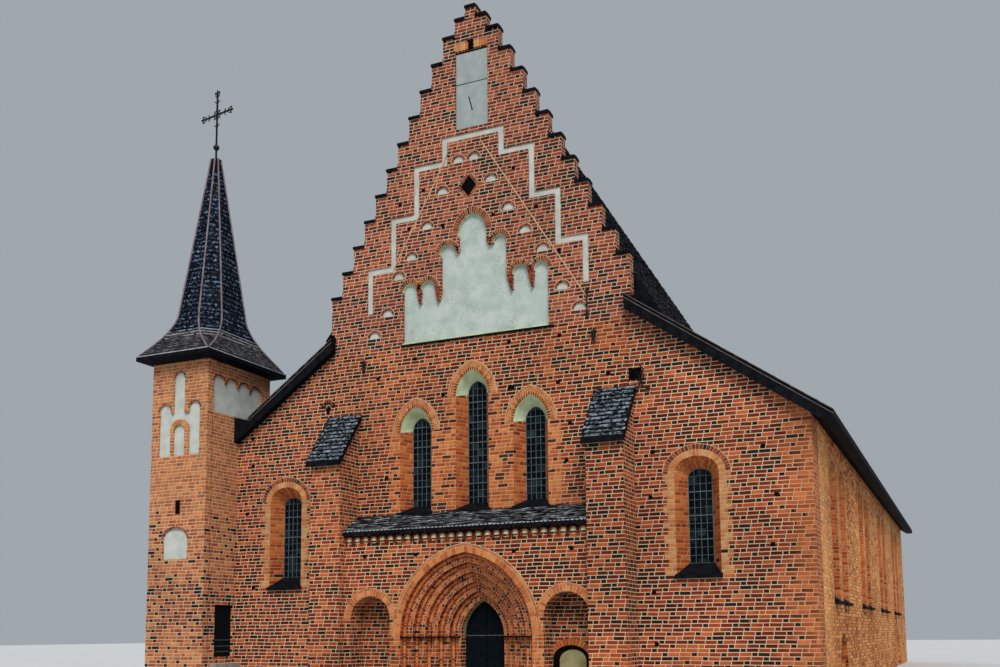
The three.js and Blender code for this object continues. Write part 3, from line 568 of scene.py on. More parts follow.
@dataclass(frozen=True)
class ShingleFinish(Finish):
    """Tarred shingles, near black, with light spots that stand partly for wear and partly for painted
    glints, and painted shadow in bands between their rows.
    """

    tar: Colour
    # worn: colour of the light spots, partly wear and partly painted glints on the tar.
    worn: Colour
    streak: Point3 = (6.0, 6.0, 40.0)
    start: float = 0.52
    # rows: height and pitch of the row edges, where the bands of painted shadow lie.
    rows: Point2 | None = None
    gloss: float = 0.05

    def coat(self, coat: Coat) -> bpy.types.Material:
        """Wire the material.

        Args:
            coat: the material's nodes.

        Returns:
            The finished material.
        """
        island = coat.island()
        # Light spots: partly wear, partly painted glints on the tar.
        spots = coat.spread(coat.streaks(self.streak), self.start, self.start + 0.1, 0.0, 1.0)
        glint_and_wear = spots * coat.spread(island, 0.0, 1.0, 0.2, 1.0)
        # Painted shadow: the spots fade out in a band where the rows meet, for the shade under each row's
        # lower edge.
        if self.rows:
            first, pitch = self.rows
            steps = (coat.split(coat.place())[2] - first) / pitch
            share = abs(coat.math("FRACT", steps) - 0.5)
            glint_and_wear = glint_and_wear * coat.spread(share, 0.22, 0.4, 1.0, 0.0)
        return coat.finish(
            coat.mix(glint_and_wear, self.tar, self.worn), coat.spread(island, 0.0, 1.0, 0.5, 0.75), self.gloss,
            (coat.streaks((60.0, 60.0, 6.0)), 0.004, 0.5))


@dataclass(frozen=True)
class GlassFinish(Finish):
    """Old dark window glass, a little different from pane to pane."""

    pane: float = 0.19

    def coat(self, coat: Coat) -> bpy.types.Material:
        """Wire the material.

        Args:
            coat: the material's nodes.

        Returns:
            The finished material.
        """
        cells = coat.add("ShaderNodeVectorMath", {0: coat.place(), 1: (self.pane,) * 3}, operation="SNAP")
        dice = coat.add("ShaderNodeTexWhiteNoise", {"Vector": cells}, "Value")
        tint = coat.ramp(
            dice, (0.0, 0.75, 1.0), ((0.001, 0.002, 0.003), (0.003, 0.006, 0.007), (0.020, 0.034, 0.038)))
        return coat.finish(
            tint, coat.spread(dice, 0.0, 1.0, 0.15, 0.35), 0.06, (coat.noise(7.0, 2.0), 0.01, 0.2))


LIME = (0.72, 0.47, 0.26)
PALE_LIME = (0.58, 0.38, 0.21)
TAR = (0.005, 0.006, 0.007)
RED_BRICKS = ((0.045, 0.006, 0.004), (0.15, 0.017, 0.007), (0.31, 0.042, 0.013), (0.52, 0.11, 0.029))
GABLE_BRICKS = ((0.055, 0.009, 0.006), (0.17, 0.024, 0.012), (0.30, 0.051, 0.022), (0.43, 0.098, 0.036))
SIDE_BRICKS = ((0.28, 0.04, 0.011), (0.64, 0.18, 0.042), (0.84, 0.35, 0.10), (0.92, 0.49, 0.165))
TOWER_BRICKS = ((0.20, 0.035, 0.012), (0.38, 0.085, 0.026), (0.54, 0.155, 0.045), (0.64, 0.25, 0.075))
ORANGE_BRICKS = ((0.27, 0.036, 0.010), (0.46, 0.082, 0.018), (0.58, 0.132, 0.029), (0.65, 0.21, 0.053))
PALE_BRICKS = ((0.44, 0.12, 0.035), (0.54, 0.19, 0.06), (0.60, 0.27, 0.10), (0.62, 0.34, 0.15))
SPLAY_BRICKS = ((0.22, 0.028, 0.008), (0.38, 0.068, 0.015), (0.52, 0.12, 0.026), (0.60, 0.18, 0.042))

FRONT_BRICK = BrickFinish("front_brick", RED_BRICKS, LIME, (0.58, 0.135, 0.034), 0.85, 0.07, 0.38)
GABLE_BRICK = BrickFinish(
    "gable_brick", GABLE_BRICKS, (0.66, 0.45, 0.29), (0.39, 0.073, 0.024), 0.70, 0.07, 0.30)
AISLE_BRICK = BrickFinish(
    "aisle_brick", RED_BRICKS, (0.74, 0.51, 0.30), (0.54, 0.155, 0.045), 0.92, 0.06, 0.30, (0, 8.1, 8.75))
# The side walls' mortar is painted dark brown, for the shade in the joints seen at a grazing angle.
SIDE_BRICK = BrickFinish(
    "side_brick", SIDE_BRICKS, (0.34, 0.15, 0.055), (0.84, 0.40, 0.13), 0.04, 0.0, 0.3, (1, 3.4, 1.2))
DRESSED_BRICK = BrickFinish(
    "dressed_brick", ORANGE_BRICKS, PALE_LIME, (0.60, 0.18, 0.045), 0.30, 0.14, 0.3,
    glaze=(0.075, 0.014, 0.008))
QUOIN_BRICK = BrickFinish(
    "pale_quoin_brick", PALE_BRICKS, (0.60, 0.38, 0.20), (0.56, 0.23, 0.08), 0.04, 0.02, 0.3)
# Splay bricks: darker and redder than the walls, partly their own colour and partly painted shade of the
# deep reveals.
SHADED_SPLAY_BRICK = BrickFinish("splay_brick", SPLAY_BRICKS, (0.48, 0.21, 0.085), (0.54, 0.13, 0.028), 0.04, 0.04)
TOWER_BRICK = BrickFinish(
    "tower_brick", TOWER_BRICKS, (0.66, 0.48, 0.32), (0.58, 0.20, 0.062), 0.6, 0.1, 0.25, (2, 4.5, 5.3),
    tinted_lime=0.2)
PALE_RING = BakedBrickFinish(
    "pale_arch_brick", ((0.46, 0.14, 0.04), (0.58, 0.23, 0.07), (0.66, 0.33, 0.12)))
ORANGE_RING = BakedBrickFinish(
    "orange_arch_brick", ((0.40, 0.09, 0.024), (0.54, 0.16, 0.042), (0.64, 0.24, 0.07)))
DARK_RING = BakedBrickFinish(
    "dark_arch_brick", ((0.12, 0.018, 0.010), (0.22, 0.038, 0.015), (0.36, 0.085, 0.026)), 0.12)
BANDED_RING = BakedBrickFinish(
    "banded_arch_brick", ((0.13, 0.018, 0.006), (0.44, 0.075, 0.016), (0.68, 0.18, 0.042)), 0.08)
ROLL_BRICK = BakedBrickFinish(
    "roll_brick", ((0.28, 0.04, 0.010), (0.54, 0.10, 0.02), (0.68, 0.19, 0.042)), 0.03)
# Dark red-brown frieze brick, darkened further as painted shade under the porch eave.
SHADED_FRIEZE_BRICK = MottledFinish("frieze_brick", (0.07, 0.013, 0.006), (0.24, 0.045, 0.014), 0.9, 9.0)
JOINT = MottledFinish("lime_joint", (0.64, 0.44, 0.27), (0.48, 0.30, 0.16), 0.95, 8.0)
GREY_PLASTER = MottledFinish(
    "grey_plaster", (0.40, 0.47, 0.42), (0.52, 0.57, 0.52), 0.92, 3.0, 0.6, speck=0.83)
COOL_PLASTER = MottledFinish("cool_plaster", (0.45, 0.47, 0.42), (0.56, 0.58, 0.52), 0.92, 3.0)
LIMEWASH = MottledFinish("cream_limewash", (0.42, 0.49, 0.26), (0.64, 0.71, 0.47), 0.92, 3.0)
OCHRE = MottledFinish("ochre_limewash", (0.26, 0.23, 0.10), (0.36, 0.32, 0.16), 0.92, 5.0)
BAND_PLASTER = MottledFinish("band_plaster", (0.46, 0.46, 0.40), (0.58, 0.58, 0.52), 0.92, 3.0)
HATCH_PAINT = MottledFinish("hatch_paint", (0.29, 0.33, 0.31), (0.36, 0.40, 0.38), 0.8, 4.0)
# Shingle finishes: each light colour is partly wear and partly painted glints; the row settings place bands
# of painted shadow between rows.
PORCH_SHINGLE = ShingleFinish(
    "porch_shingle", TAR, (0.60, 0.64, 0.66), (3.0, 3.0, 60.0), 0.505, (4.412, 0.0718))
CAP_SHINGLE = ShingleFinish(
    "cap_shingle", TAR, (0.27, 0.32, 0.37), (11.0, 11.0, 16.0), 0.43, (6.43, 1.49 / 12))
ROOF_SHINGLE = ShingleFinish("roof_shingle", TAR, (0.09, 0.10, 0.12), (8.0, 8.0, 20.0))
SPIRE_SHINGLE = ShingleFinish(
    "spire_shingle", (0.002, 0.004, 0.009), (0.15, 0.22, 0.31), (12.0, 12.0, 14.0), 0.50, (11.46, 0.15),
    slot=Slot.SHINGLE)
SKIRT_SHINGLE = ShingleFinish(
    "skirt_shingle", (0.012, 0.012, 0.015), (0.22, 0.20, 0.21), (5.0, 5.0, 50.0), 0.50, slot=Slot.SHINGLE)
TARRED_BOARD = MottledFinish(
    "tarred_board", (0.003, 0.0035, 0.005), (0.008, 0.009, 0.012), 0.75, 5.0, gloss=0.04,
    slot=Slot.SHINGLE)
BROWN_TRIM = MottledFinish(
    "brown_trim", (0.11, 0.075, 0.065), (0.19, 0.145, 0.13), 0.6, 6.0, slot=Slot.SHINGLE)
HIP_STRIP = MottledFinish(
    "rose_hip_strip", (0.15, 0.10, 0.115), (0.26, 0.19, 0.21), 0.55, 6.0, slot=Slot.SHINGLE)
# Pale grey, used for pale courses on the spire and as painted highlights along the porch eave.
PALE_COURSE_AND_HIGHLIGHT = MottledFinish(
    "pale_course", (0.26, 0.27, 0.29), (0.42, 0.43, 0.45), 0.6, 6.0, slot=Slot.SHINGLE)
LEAD = MottledFinish(
    "lead_sheet", (0.16, 0.175, 0.19), (0.28, 0.30, 0.32), 0.5, 5.0, 0.2, 0.5, slot=Slot.IRON)
CAME = MottledFinish("lead_came", (0.07, 0.105, 0.12), (0.125, 0.17, 0.19), 0.6, 9.0, 0.1, slot=Slot.IRON)
GLASS = GlassFinish("leaded_glass")
DOOR_PAINT = MottledFinish(
    "door_paint", (0.002, 0.004, 0.006), (0.004, 0.008, 0.011), 0.6, 12.0, gloss=0.05, slot=Slot.WOOD)
DOOR_RAIL = MottledFinish(
    "door_rail", (0.06, 0.07, 0.075), (0.10, 0.115, 0.12), 0.45, 12.0, slot=Slot.WOOD)
IRON = MottledFinish(
    "wrought_iron", (0.010, 0.009, 0.010), (0.026, 0.022, 0.022), 0.5, 14.0, 0.3, 0.6, slot=Slot.IRON)
# Near-black painted shadow: it stands for the shade in holes, slits, gaps and openings, and in dark lines
# between and under bricks.
PAINTED_SHADOW = MottledFinish("deep_hole", (0.003, 0.002, 0.002), (0.006, 0.005, 0.005), 0.95, gloss=0.02)
STONE = MottledFinish("worn_stone", (0.22, 0.205, 0.18), (0.33, 0.31, 0.28), 0.85, 3.0)
PALE_FLOOR = MottledFinish("pale_floor", (0.52, 0.53, 0.53), (0.56, 0.57, 0.57), 0.9, 0.4, 0.05)


SEAT = 0.01
SKIN = 0.012
THIN = 0.003


def turns(count: int) -> list[float]:
    """Evenly spaced angles of a full turn."""
    return [2 * math.pi * i / count for i in range(count)]


def opposite(first: Point2, second: Point2) -> list[Point2]:
    """Corners of the upright rectangle between two opposite corners."""
    (u0, u1), (v0, v1) = (sorted(pair) for pair in zip(first, second))
    return [(u0, v0), (u1, v0), (u1, v1), (u0, v1)]


def link(name: str, data: bpy.types.ID) -> bpy.types.Object:
    """Add an object to the scene."""
    made = bpy.data.objects.new(name, data)
    bpy.context.scene.collection.objects.link(made)
    return made


def place_piece(name: str, mesh: bpy.types.Mesh, body: str = CHURCH) -> None:
    """Add a mesh as an object that rides on a body.

    Args:
        name: the object's name.
        mesh: the finished mesh.
        body: the CAD body that carries it.
    """
    made = link(name, mesh)
    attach(made, body)
    LOG.info("%s: %d faces", name, len(mesh.polygons))


@dataclass
class Mesher:
    """Collects plain shapes that become one object."""

    name: str
    points: list[Point3] = field(default_factory=list)
    faces: list[tuple[int, ...]] = field(default_factory=list)

    def loft(self, rings: list[list[Point3]]) -> None:
        """Skin a row of rings with equal numbers of points, with caps on its ends.

        Args:
            rings: the cross-sections, in order.
        """
        count = len(rings[0])
        first = len(self.points)
        for ring in rings:
            self.points.extend(tuple(point) for point in ring)
        last = len(self.points) - count
        for here in range(first, last, count):
            for i in range(count):
                j = (i + 1) % count
                self.faces.append((here + i, here + j, here + count + j, here + count + i))
        self.faces.append(tuple(first + i for i in reversed(range(count))))
        self.faces.append(tuple(last + i for i in range(count)))

    def slab(
            self, outline: Iterable[Point2], plane: WallPlane, front: float = THIN,
            back: float = -SEAT) -> None:
        """A plate with an outline on a wall plane, between two distances out of the wall."""
        points = list(outline)
        self.loft([[plane.at(u, v, out) for u, v in points] for out in (back, front)])

    def plate(
            self, low: Point2, high: Point2, plane: WallPlane, front: float = THIN,
            back: float = -SEAT) -> None:
        """A rectangular plate on a wall plane, between two opposite corners."""
        self.slab(opposite(low, high), plane, front, back)

    def block(self, low: Point3, high: Point3) -> None:
        """A box between two opposite corners."""
        self.loft([[(x, y, z) for x, y in opposite(low[:2], high[:2])] for z in (low[2], high[2])])

    def along_x(self, section: list[Point2], x0: float, x1: float) -> None:
        """A section in Y and Z, carried along X."""
        self.loft([[(x, y, z) for y, z in section] for x in sorted((x0, x1))])

    def along_y(self, section: list[Point2], y0: float, y1: float) -> None:
        """A section in X and Z, carried along Y."""
        self.loft([[(x, y, z) for x, z in section] for y in (y0, y1)])

    def rod(self, start: Point3, end: Point3, radius: float, sides: int = 6, taper: float = 1.0) -> None:
        """A round rod between two points.

        Args:
            start: middle of its first end.
            end: middle of its last end.
            radius: its radius at the start.
            sides: number of its flat sides.
            taper: radius at its end as a share of the first.
        """
        axis = (Vector(end) - Vector(start)).normalized()
        first = axis.orthogonal().normalized()
        second = axis.cross(first)
        self.loft([
            [Vector(centre) + size * (math.cos(a) * first + math.sin(a) * second) for a in turns(sides)]
            for centre, size in ((start, radius), (end, radius * taper))])

    def path(self, points: Iterable[Point3], radius: float) -> None:
        """A bent rod through a row of points."""
        row = list(points)
        for first, second in zip(row, row[1:]):
            self.rod(first, second, radius)

    def ball(self, centre: Point3, radius: float, sides: int = 8) -> None:
        """A round ball.

        Args:
            centre: its middle.
            radius: its radius.
            sides: number of its sides all round.
        """
        steps = sides // 2
        levels = [math.pi * k / steps for k in range(1, steps)]
        self.loft([
            [Vector(centre) + radius * Vector((
                math.sin(level) * math.cos(a), math.sin(level) * math.sin(a), math.cos(level)))
             for a in turns(sides)]
            for level in levels])

    def bricks_along(
            self, arch: Arch, count: int, joint: float, grow: float = 0.0) -> Iterable[list[Point2]]:
        """Side of the head with the start and end of each of its bricks.

        Args:
            arch: the arch that they follow.
            count: number of bricks on each half of the head.
            joint: width of a joint.
            grow: distance from the arch's edge at which the joints are measured.

        Yields:
            The side and the two shares of the head.
        """
        gap = joint / arch.head_length(grow) / 2
        for side in (1, -1):
            for k in range(count):
                yield [(side, k / count + gap), (side, (k + 1) / count - gap)]

    def ring(
            self, arch: Arch, plane: WallPlane, inner: float, outer: float, proud: float,
            brick: float = 0.085, joint: float = 0.014) -> None:
        """Bricks laid around an arch, like the rays of the sun.

        Args:
            arch: the arch that they follow.
            plane: the wall face.
            inner: distance of their inner ends from the arch's edge.
            outer: distance of their outer ends.
            proud: how far they stand out of the wall.
            brick: thickness of a brick along the arch.
            joint: width of a joint.
        """
        middle = (inner + outer) / 2
        count = max(2, round(arch.head_length(middle) / (brick + joint)))
        for start, end in self.bricks_along(arch, count, joint, middle):
            corners = ((start, inner), (start, outer), (end, outer), (end, inner))
            self.slab([arch.point(*place, grow) for place, grow in corners], plane, proud)

    def strip(
            self, arch: Arch, plane: WallPlane, sizes: tuple[float, float, float, float],
            bottom: float | None = None) -> None:
        """A smooth strip around an arch from foot to foot.

        Args:
            arch: the arch that it follows.
            plane: the wall face.
            sizes: inner and outer distance from the arch's edge, then back and front out of the wall.
            bottom: height of its feet, or the springing if there is none.
        """
        inner, outer, back, proud = sizes
        low = arch.spring if bottom is None else bottom
        pairs = list(zip(arch.outline(inner, bottom=low), arch.outline(outer, bottom=low)))
        self.loft([
            [plane.at(*a, back), plane.at(*b, back), plane.at(*b, proud), plane.at(*a, proud)]
            for a, b in [*pairs[1:], pairs[0]]])

    def bed(
            self, arch: Arch, plane: WallPlane, width: float, proud: float = THIN,
            bottom: float | None = None) -> None:
        """The mortar behind a ring of bricks."""
        self.strip(arch, plane, (0.0, width, -SEAT, proud), bottom)

    def lining(
            self, outer: Arch, inner: Arch, plane: WallPlane, depth: float, bricks: int = 0,
            joint: float = 0.014, skin: tuple[float, float, float] = (0.002, -0.007, -0.002)) -> None:
        """Line the head of an opening, smoothly or as radial bricks.

        Args:
            outer: arch in the wall face.
            inner: arch at the far end of the lining.
            plane: the wall face.
            depth: how far the lining runs into the wall.
            bricks: number of bricks on each half of the head, or 0 for a smooth skin.
            joint: width of a joint.
            skin: back and face of the lining outside the arch's edge, and its start out of the wall.
        """
        back, face, start = skin
        places = ((outer, back, start), (inner, back, -depth), (inner, face, -depth), (outer, face, start))

        def station(side: int, share: float) -> list[Point3]:
            """Cross-section of the lining at one place of the head."""
            return [plane.at(*arch.point(side, share, grow), out) for arch, grow, out in places]

        if bricks:
            for ends in self.bricks_along(outer, bricks, joint):
                self.loft([station(*end) for end in ends])
        else:
            shares = [i / 10 for i in range(11)]
            self.loft([*(station(1, s) for s in shares), *(station(-1, s) for s in reversed(shares[:-1]))])

    def mesh(self) -> bpy.types.Mesh:
        """The collected shapes as a mesh without a material."""
        made = bpy.data.meshes.new(self.name)
        made.from_pydata(self.points, [], self.faces)
        return made

    def place(self, finish: Finish, slot: Slot, body: str) -> None:
        """Make the collected shapes one object that rides on a body.

        Args:
            finish: the object's material.
            slot: not used.
            body: the CAD body that carries it.
        """
        mesh = self.mesh()
        work = bmesh.new()
        work.from_mesh(mesh)
        bmesh.ops.recalc_face_normals(work, faces=work.faces)
        work.to_mesh(mesh)
        work.free()
        mesh.materials.append(finish.material)
        place_piece(self.name, mesh, body)


class Part:
    """A sub-assembly, which places its pieces when its shape method has filled them."""

    @cached_property
    def waiting(self) -> list[tuple[Mesher, Finish, Slot, str]]:
        """The pieces to place, each with its finish, slot and body."""
        return []

    def pieces(self, slot: Slot | None = None, body: str = CHURCH, **finishes: Finish) -> list[Mesher]:
        """Start pieces.

        Args:
            slot: the slot, where it isn't the finish's usual one.
            body: the CAD body that carries the pieces.
            finishes: the finish of each piece, by its name.

        Returns:
            A collection of shapes for each piece.
        """
        made = [Mesher(name) for name in finishes]
        for mesher, finish in zip(made, finishes.values()):
            self.waiting.append((mesher, finish, slot or finish.slot, body))
        return made

    def build(self) -> None:
        """Make all pieces."""
        self.shape()
        for mesher, *dress in self.waiting:
            mesher.place(*dress)


class ArrayTree:
    """A geometry tree that lays copies of a shape in staggered rows on a flat field."""

    INPUTS = {
        "Shape": "Object", "Columns": "Int", "Rows": "Int", "Column Step": "Float", "Row Step": "Float",
        "Stagger": "Float", "Tilt": "Float", "Play": "Float", "Seed": "Int", "Finish": "Material"}

    def __init__(self) -> None:
        """Build the tree."""
        self.tree = bpy.data.node_groups.new("staggered_rows", "GeometryNodeTree")
        face = self.tree.interface
        self.sockets = {
            name: face.new_socket(name=name, in_out="INPUT", socket_type="NodeSocket" + kind).identifier
            for name, kind in self.INPUTS.items()}
        face.new_socket(name="Geometry", in_out="OUTPUT", socket_type="NodeSocketGeometry")
        self._wire(Graph(self.tree))

    def _wire(self, graph: Graph) -> None:
        """Add and join the tree's nodes.

        Args:
            graph: adds nodes to the tree.
        """
        given = graph.add("NodeGroupInput").beside
        columns, rows, across_step, row_step = (
            given(name) for name in ("Columns", "Rows", "Column Step", "Row Step"))
        width, depth = across_step * (columns - 1), row_step * (rows - 1)
        grid = graph.add(
            "GeometryNodeMeshGrid",
            {"Size X": width, "Size Y": depth, "Vertices X": columns, "Vertices Y": rows}, "Mesh")
        x, y, _ = graph.split(graph.add("GeometryNodeInputPosition"))
        up = y + depth * 0.5
        odd = graph.math("MODULO", graph.math("ROUND", up / row_step), 2.0) - 0.5
        across = width * 0.5 + (x + odd * (given("Stagger") * across_step))

        def play(salt: int, factor: float) -> Value:
            """A small random value of each copy, in proportion to the play."""
            seed = given("Seed") + float(salt * 101)
            dice = graph.add(
                "FunctionNodeRandomValue", {2: -1.0, 3: 1.0, "Seed": seed}, 1, data_type="FLOAT")
            return dice * (given("Play") * factor)

        moved = graph.add(
            "GeometryNodeSetPosition",
            {"Geometry": grid, "Position": graph.join(across, up, play(1, 0.2))})
        shape = graph.add("GeometryNodeObjectInfo", {"Object": given("Shape")}, "Geometry")
        turn = graph.join(given("Tilt") + play(2, 2.5), play(3, 2.0), play(4, 1.5))
        copies = graph.add(
            "GeometryNodeInstanceOnPoints", {"Points": moved, "Instance": shape, "Rotation": turn})
        real = graph.add("GeometryNodeRealizeInstances", {"Geometry": copies})
        dressed = graph.add("GeometryNodeSetMaterial", {"Geometry": real, "Material": given("Finish")})
        graph.feed(self.tree.nodes.new("NodeGroupOutput").inputs[0], dressed)

    def lay(self, name: str, values: dict[str, object]) -> bpy.types.Mesh:
        """Evaluate one field of copies as a plain mesh.

        Args:
            name: name of the new mesh.
            values: what the tree's inputs get, by name.

        Returns:
            The mesh, with its first copy at the origin.
        """
        host = link(name + "_host", bpy.data.meshes.new(name + "_host"))
        modifier = host.modifiers.new("rows", "NODES")
        modifier.node_group = self.tree
        for key, value in values.items():
            modifier[self.sockets[key]] = value
        view = bpy.context.evaluated_depsgraph_get()
        view.update()
        mesh = bpy.data.meshes.new_from_object(host.evaluated_get(view))
        mesh.name = name
        bpy.data.objects.remove(host)
        return mesh


@dataclass
class Roofer:
    """Lays shingles on flat roof faces."""

    array: ArrayTree
    thickness: float = 0.022
    lift: float = 0.012
    stagger: float = 0.5
    tilt: float = -0.06
    play: float = 0.012
    overlap: float = 1.25
    shapes: dict[Point2, bpy.types.Object] = field(default_factory=dict)

    def shingle(self, width: float, length: float) -> bpy.types.Object:
        """A shingle with rounded lower corners, kept outside the scene as a pattern.

        Args:
            width: distance from one shingle to the next.
            length: length up the slope.

        Returns:
            The pattern, which is made once for each size.
        """
        key = (width, length)
        if key not in self.shapes:
            half, bend = width * 0.47, width * 0.18
            outline = [
                (-half, length), (-half, bend), (bend - half, 0.0), (half - bend, 0.0), (half, bend),
                (half, length)]
            shape = Mesher("shingle_pattern")
            shape.loft([
                [(u, v, top * (1 - 0.6 * v / length)) for u, v in outline]
                for top in (0.0, self.thickness)])
            self.shapes[key] = bpy.data.objects.new(shape.name, shape.mesh())
        return self.shapes[key]

    def cover(
            self, name: str, finish: Finish, corner: Point3, faces: tuple[Point3, Point3], size: Point2,
            unit: Point2, seed: int) -> None:
        """Cover a rectangular roof face.

        Args:
            name: the piece's name.
            finish: its finish.
            corner: lower corner of the face.
            faces: direction of the eave from the corner, and the direction up the slope.
            size: width along the eave and length up the slope.
            unit: width of a shingle and height that it shows.
            seed: seed of the unevenness.
        """
        columns, rows = (max(2, round(whole / part)) for whole, part in zip(size, unit))
        across, up = size[0] / columns, size[1] / rows
        mesh = self.array.lay(name, {
            "Shape": self.shingle(across, up * self.overlap), "Columns": columns, "Rows": rows,
            "Column Step": across, "Row Step": up, "Stagger": self.stagger, "Tilt": self.tilt,
            "Play": self.play, "Seed": seed, "Finish": finish.material})
        u, v = (Vector(way).normalized() for way in faces)
        w = u.cross(v)
        turn = Matrix((u, v, w)).transposed().to_4x4()
        mesh.transform(Matrix.Translation(Vector(corner) + u * across / 2 + w * self.lift) @ turn)
        place_piece(name, mesh)

    def clear(self) -> None:
        """Remove the patterns."""
        for shape in self.shapes.values():
            bpy.data.objects.remove(shape)


@dataclass
class Studio:
    """Camera, floor and light."""

    position: Point3 = (12.295, -25.330, 1.6)
    yaw: float = -24.370
    pitch: float = 6.575
    roll: float = -0.439
    lens: float = 37.55
    rise: float = 0.1796
    reach: float = 160.0

    def build(self) -> None:
        """Set the camera, the floor and the lights."""
        self._camera()
        floor = Mesher("studio_floor")
        floor.block((-self.reach, -self.reach, -0.5), (self.reach, self.reach, 0.0))
        mesh = floor.mesh()
        mesh.materials.append(PALE_FLOOR.material)
        made = link(floor.name, mesh)
        self._sun("key_sun", 2.5, (-0.34, 0.62, -0.70), 28.0)
        self._sun("fill_sun", 0.7, (0.45, -0.55, -0.70), 60.0)
        world = bpy.data.worlds.new("studio")
        world.use_nodes = True
        shade = world.node_tree.nodes["Background"]
        shade.inputs[0].default_value = (0.64, 0.70, 0.76, 1.0)
        shade.inputs[1].default_value = 0.55
        bpy.context.scene.world = world
        bpy.context.scene.view_settings.view_transform = "Standard"

    def _camera(self) -> None:
        """Stand the camera where the photograph was taken, with its film plane raised."""
        camera = link("camera", bpy.data.cameras.new("camera"))
        camera.data.lens = self.lens
        camera.data.sensor_width = 36.0
        camera.data.shift_y = self.rise
        camera.data.clip_end = 500.0
        matrix = Matrix.Translation(self.position)
        for angle, axis in ((-self.yaw, "Z"), (90.0 + self.pitch, "X"), (self.roll, "Z")):
            matrix = matrix @ Matrix.Rotation(math.radians(angle), 4, axis)
        camera.matrix_world = matrix
        bpy.context.scene.camera = camera

    def _sun(self, name: str, strength: float, travel: Point3, softness: float) -> None:
        """Hang one soft light.

        Args:
            name: the light's name.
            strength: its strength.
            travel: the way that its rays run.
            softness: its angle in degrees.
        """
        lamp = bpy.data.lights.new(name, "SUN")
        lamp.energy = strength
        lamp.angle = math.radians(softness)
        link(name, lamp).rotation_euler = Vector(travel).to_track_quat("-Z", "Y").to_euler()


@dataclass
class Masonry:
    """Finishes of the CAD's own walls, floors and roofs."""

    nodes: dict[str, bpy.types.Object]

    DRESSING = (
        (FRONT_BRICK, "front_wall_* *_buttress porch_*_pier porch_arch west_bay_east_gable"),
        (GABLE_BRICK, "west_gable"),
        (AISLE_BRICK, "*_aisle_front"),
        (SIDE_BRICK, "south_wall north_wall east_wall *_arcade"),
        (TOWER_BRICK, "tower_*_wall tower_wall_over_door tower_floor"),
        (TARRED_BOARD, "*_roof *_roof_south *_roof_north spire"),
        (GLASS, "*_glazing *_glazing_*"),
        (DOOR_PAINT, "portal_door_* tower_door"),
        (STONE, "floor_slab tower_steps"),
        (IRON, "spire_cross"),
    )

    def build(self) -> None:
        """Dress each carried-over node."""
        for finish, patterns in self.DRESSING:
            names = [name for pattern in patterns.split() for name in fnmatch.filter(self.nodes, pattern)]
            for name in names:
                materials = self.nodes[name].data.materials
                materials.clear()
                materials.append(finish.material)
            LOG.info("%s: %s", finish.name, ", ".join(names))


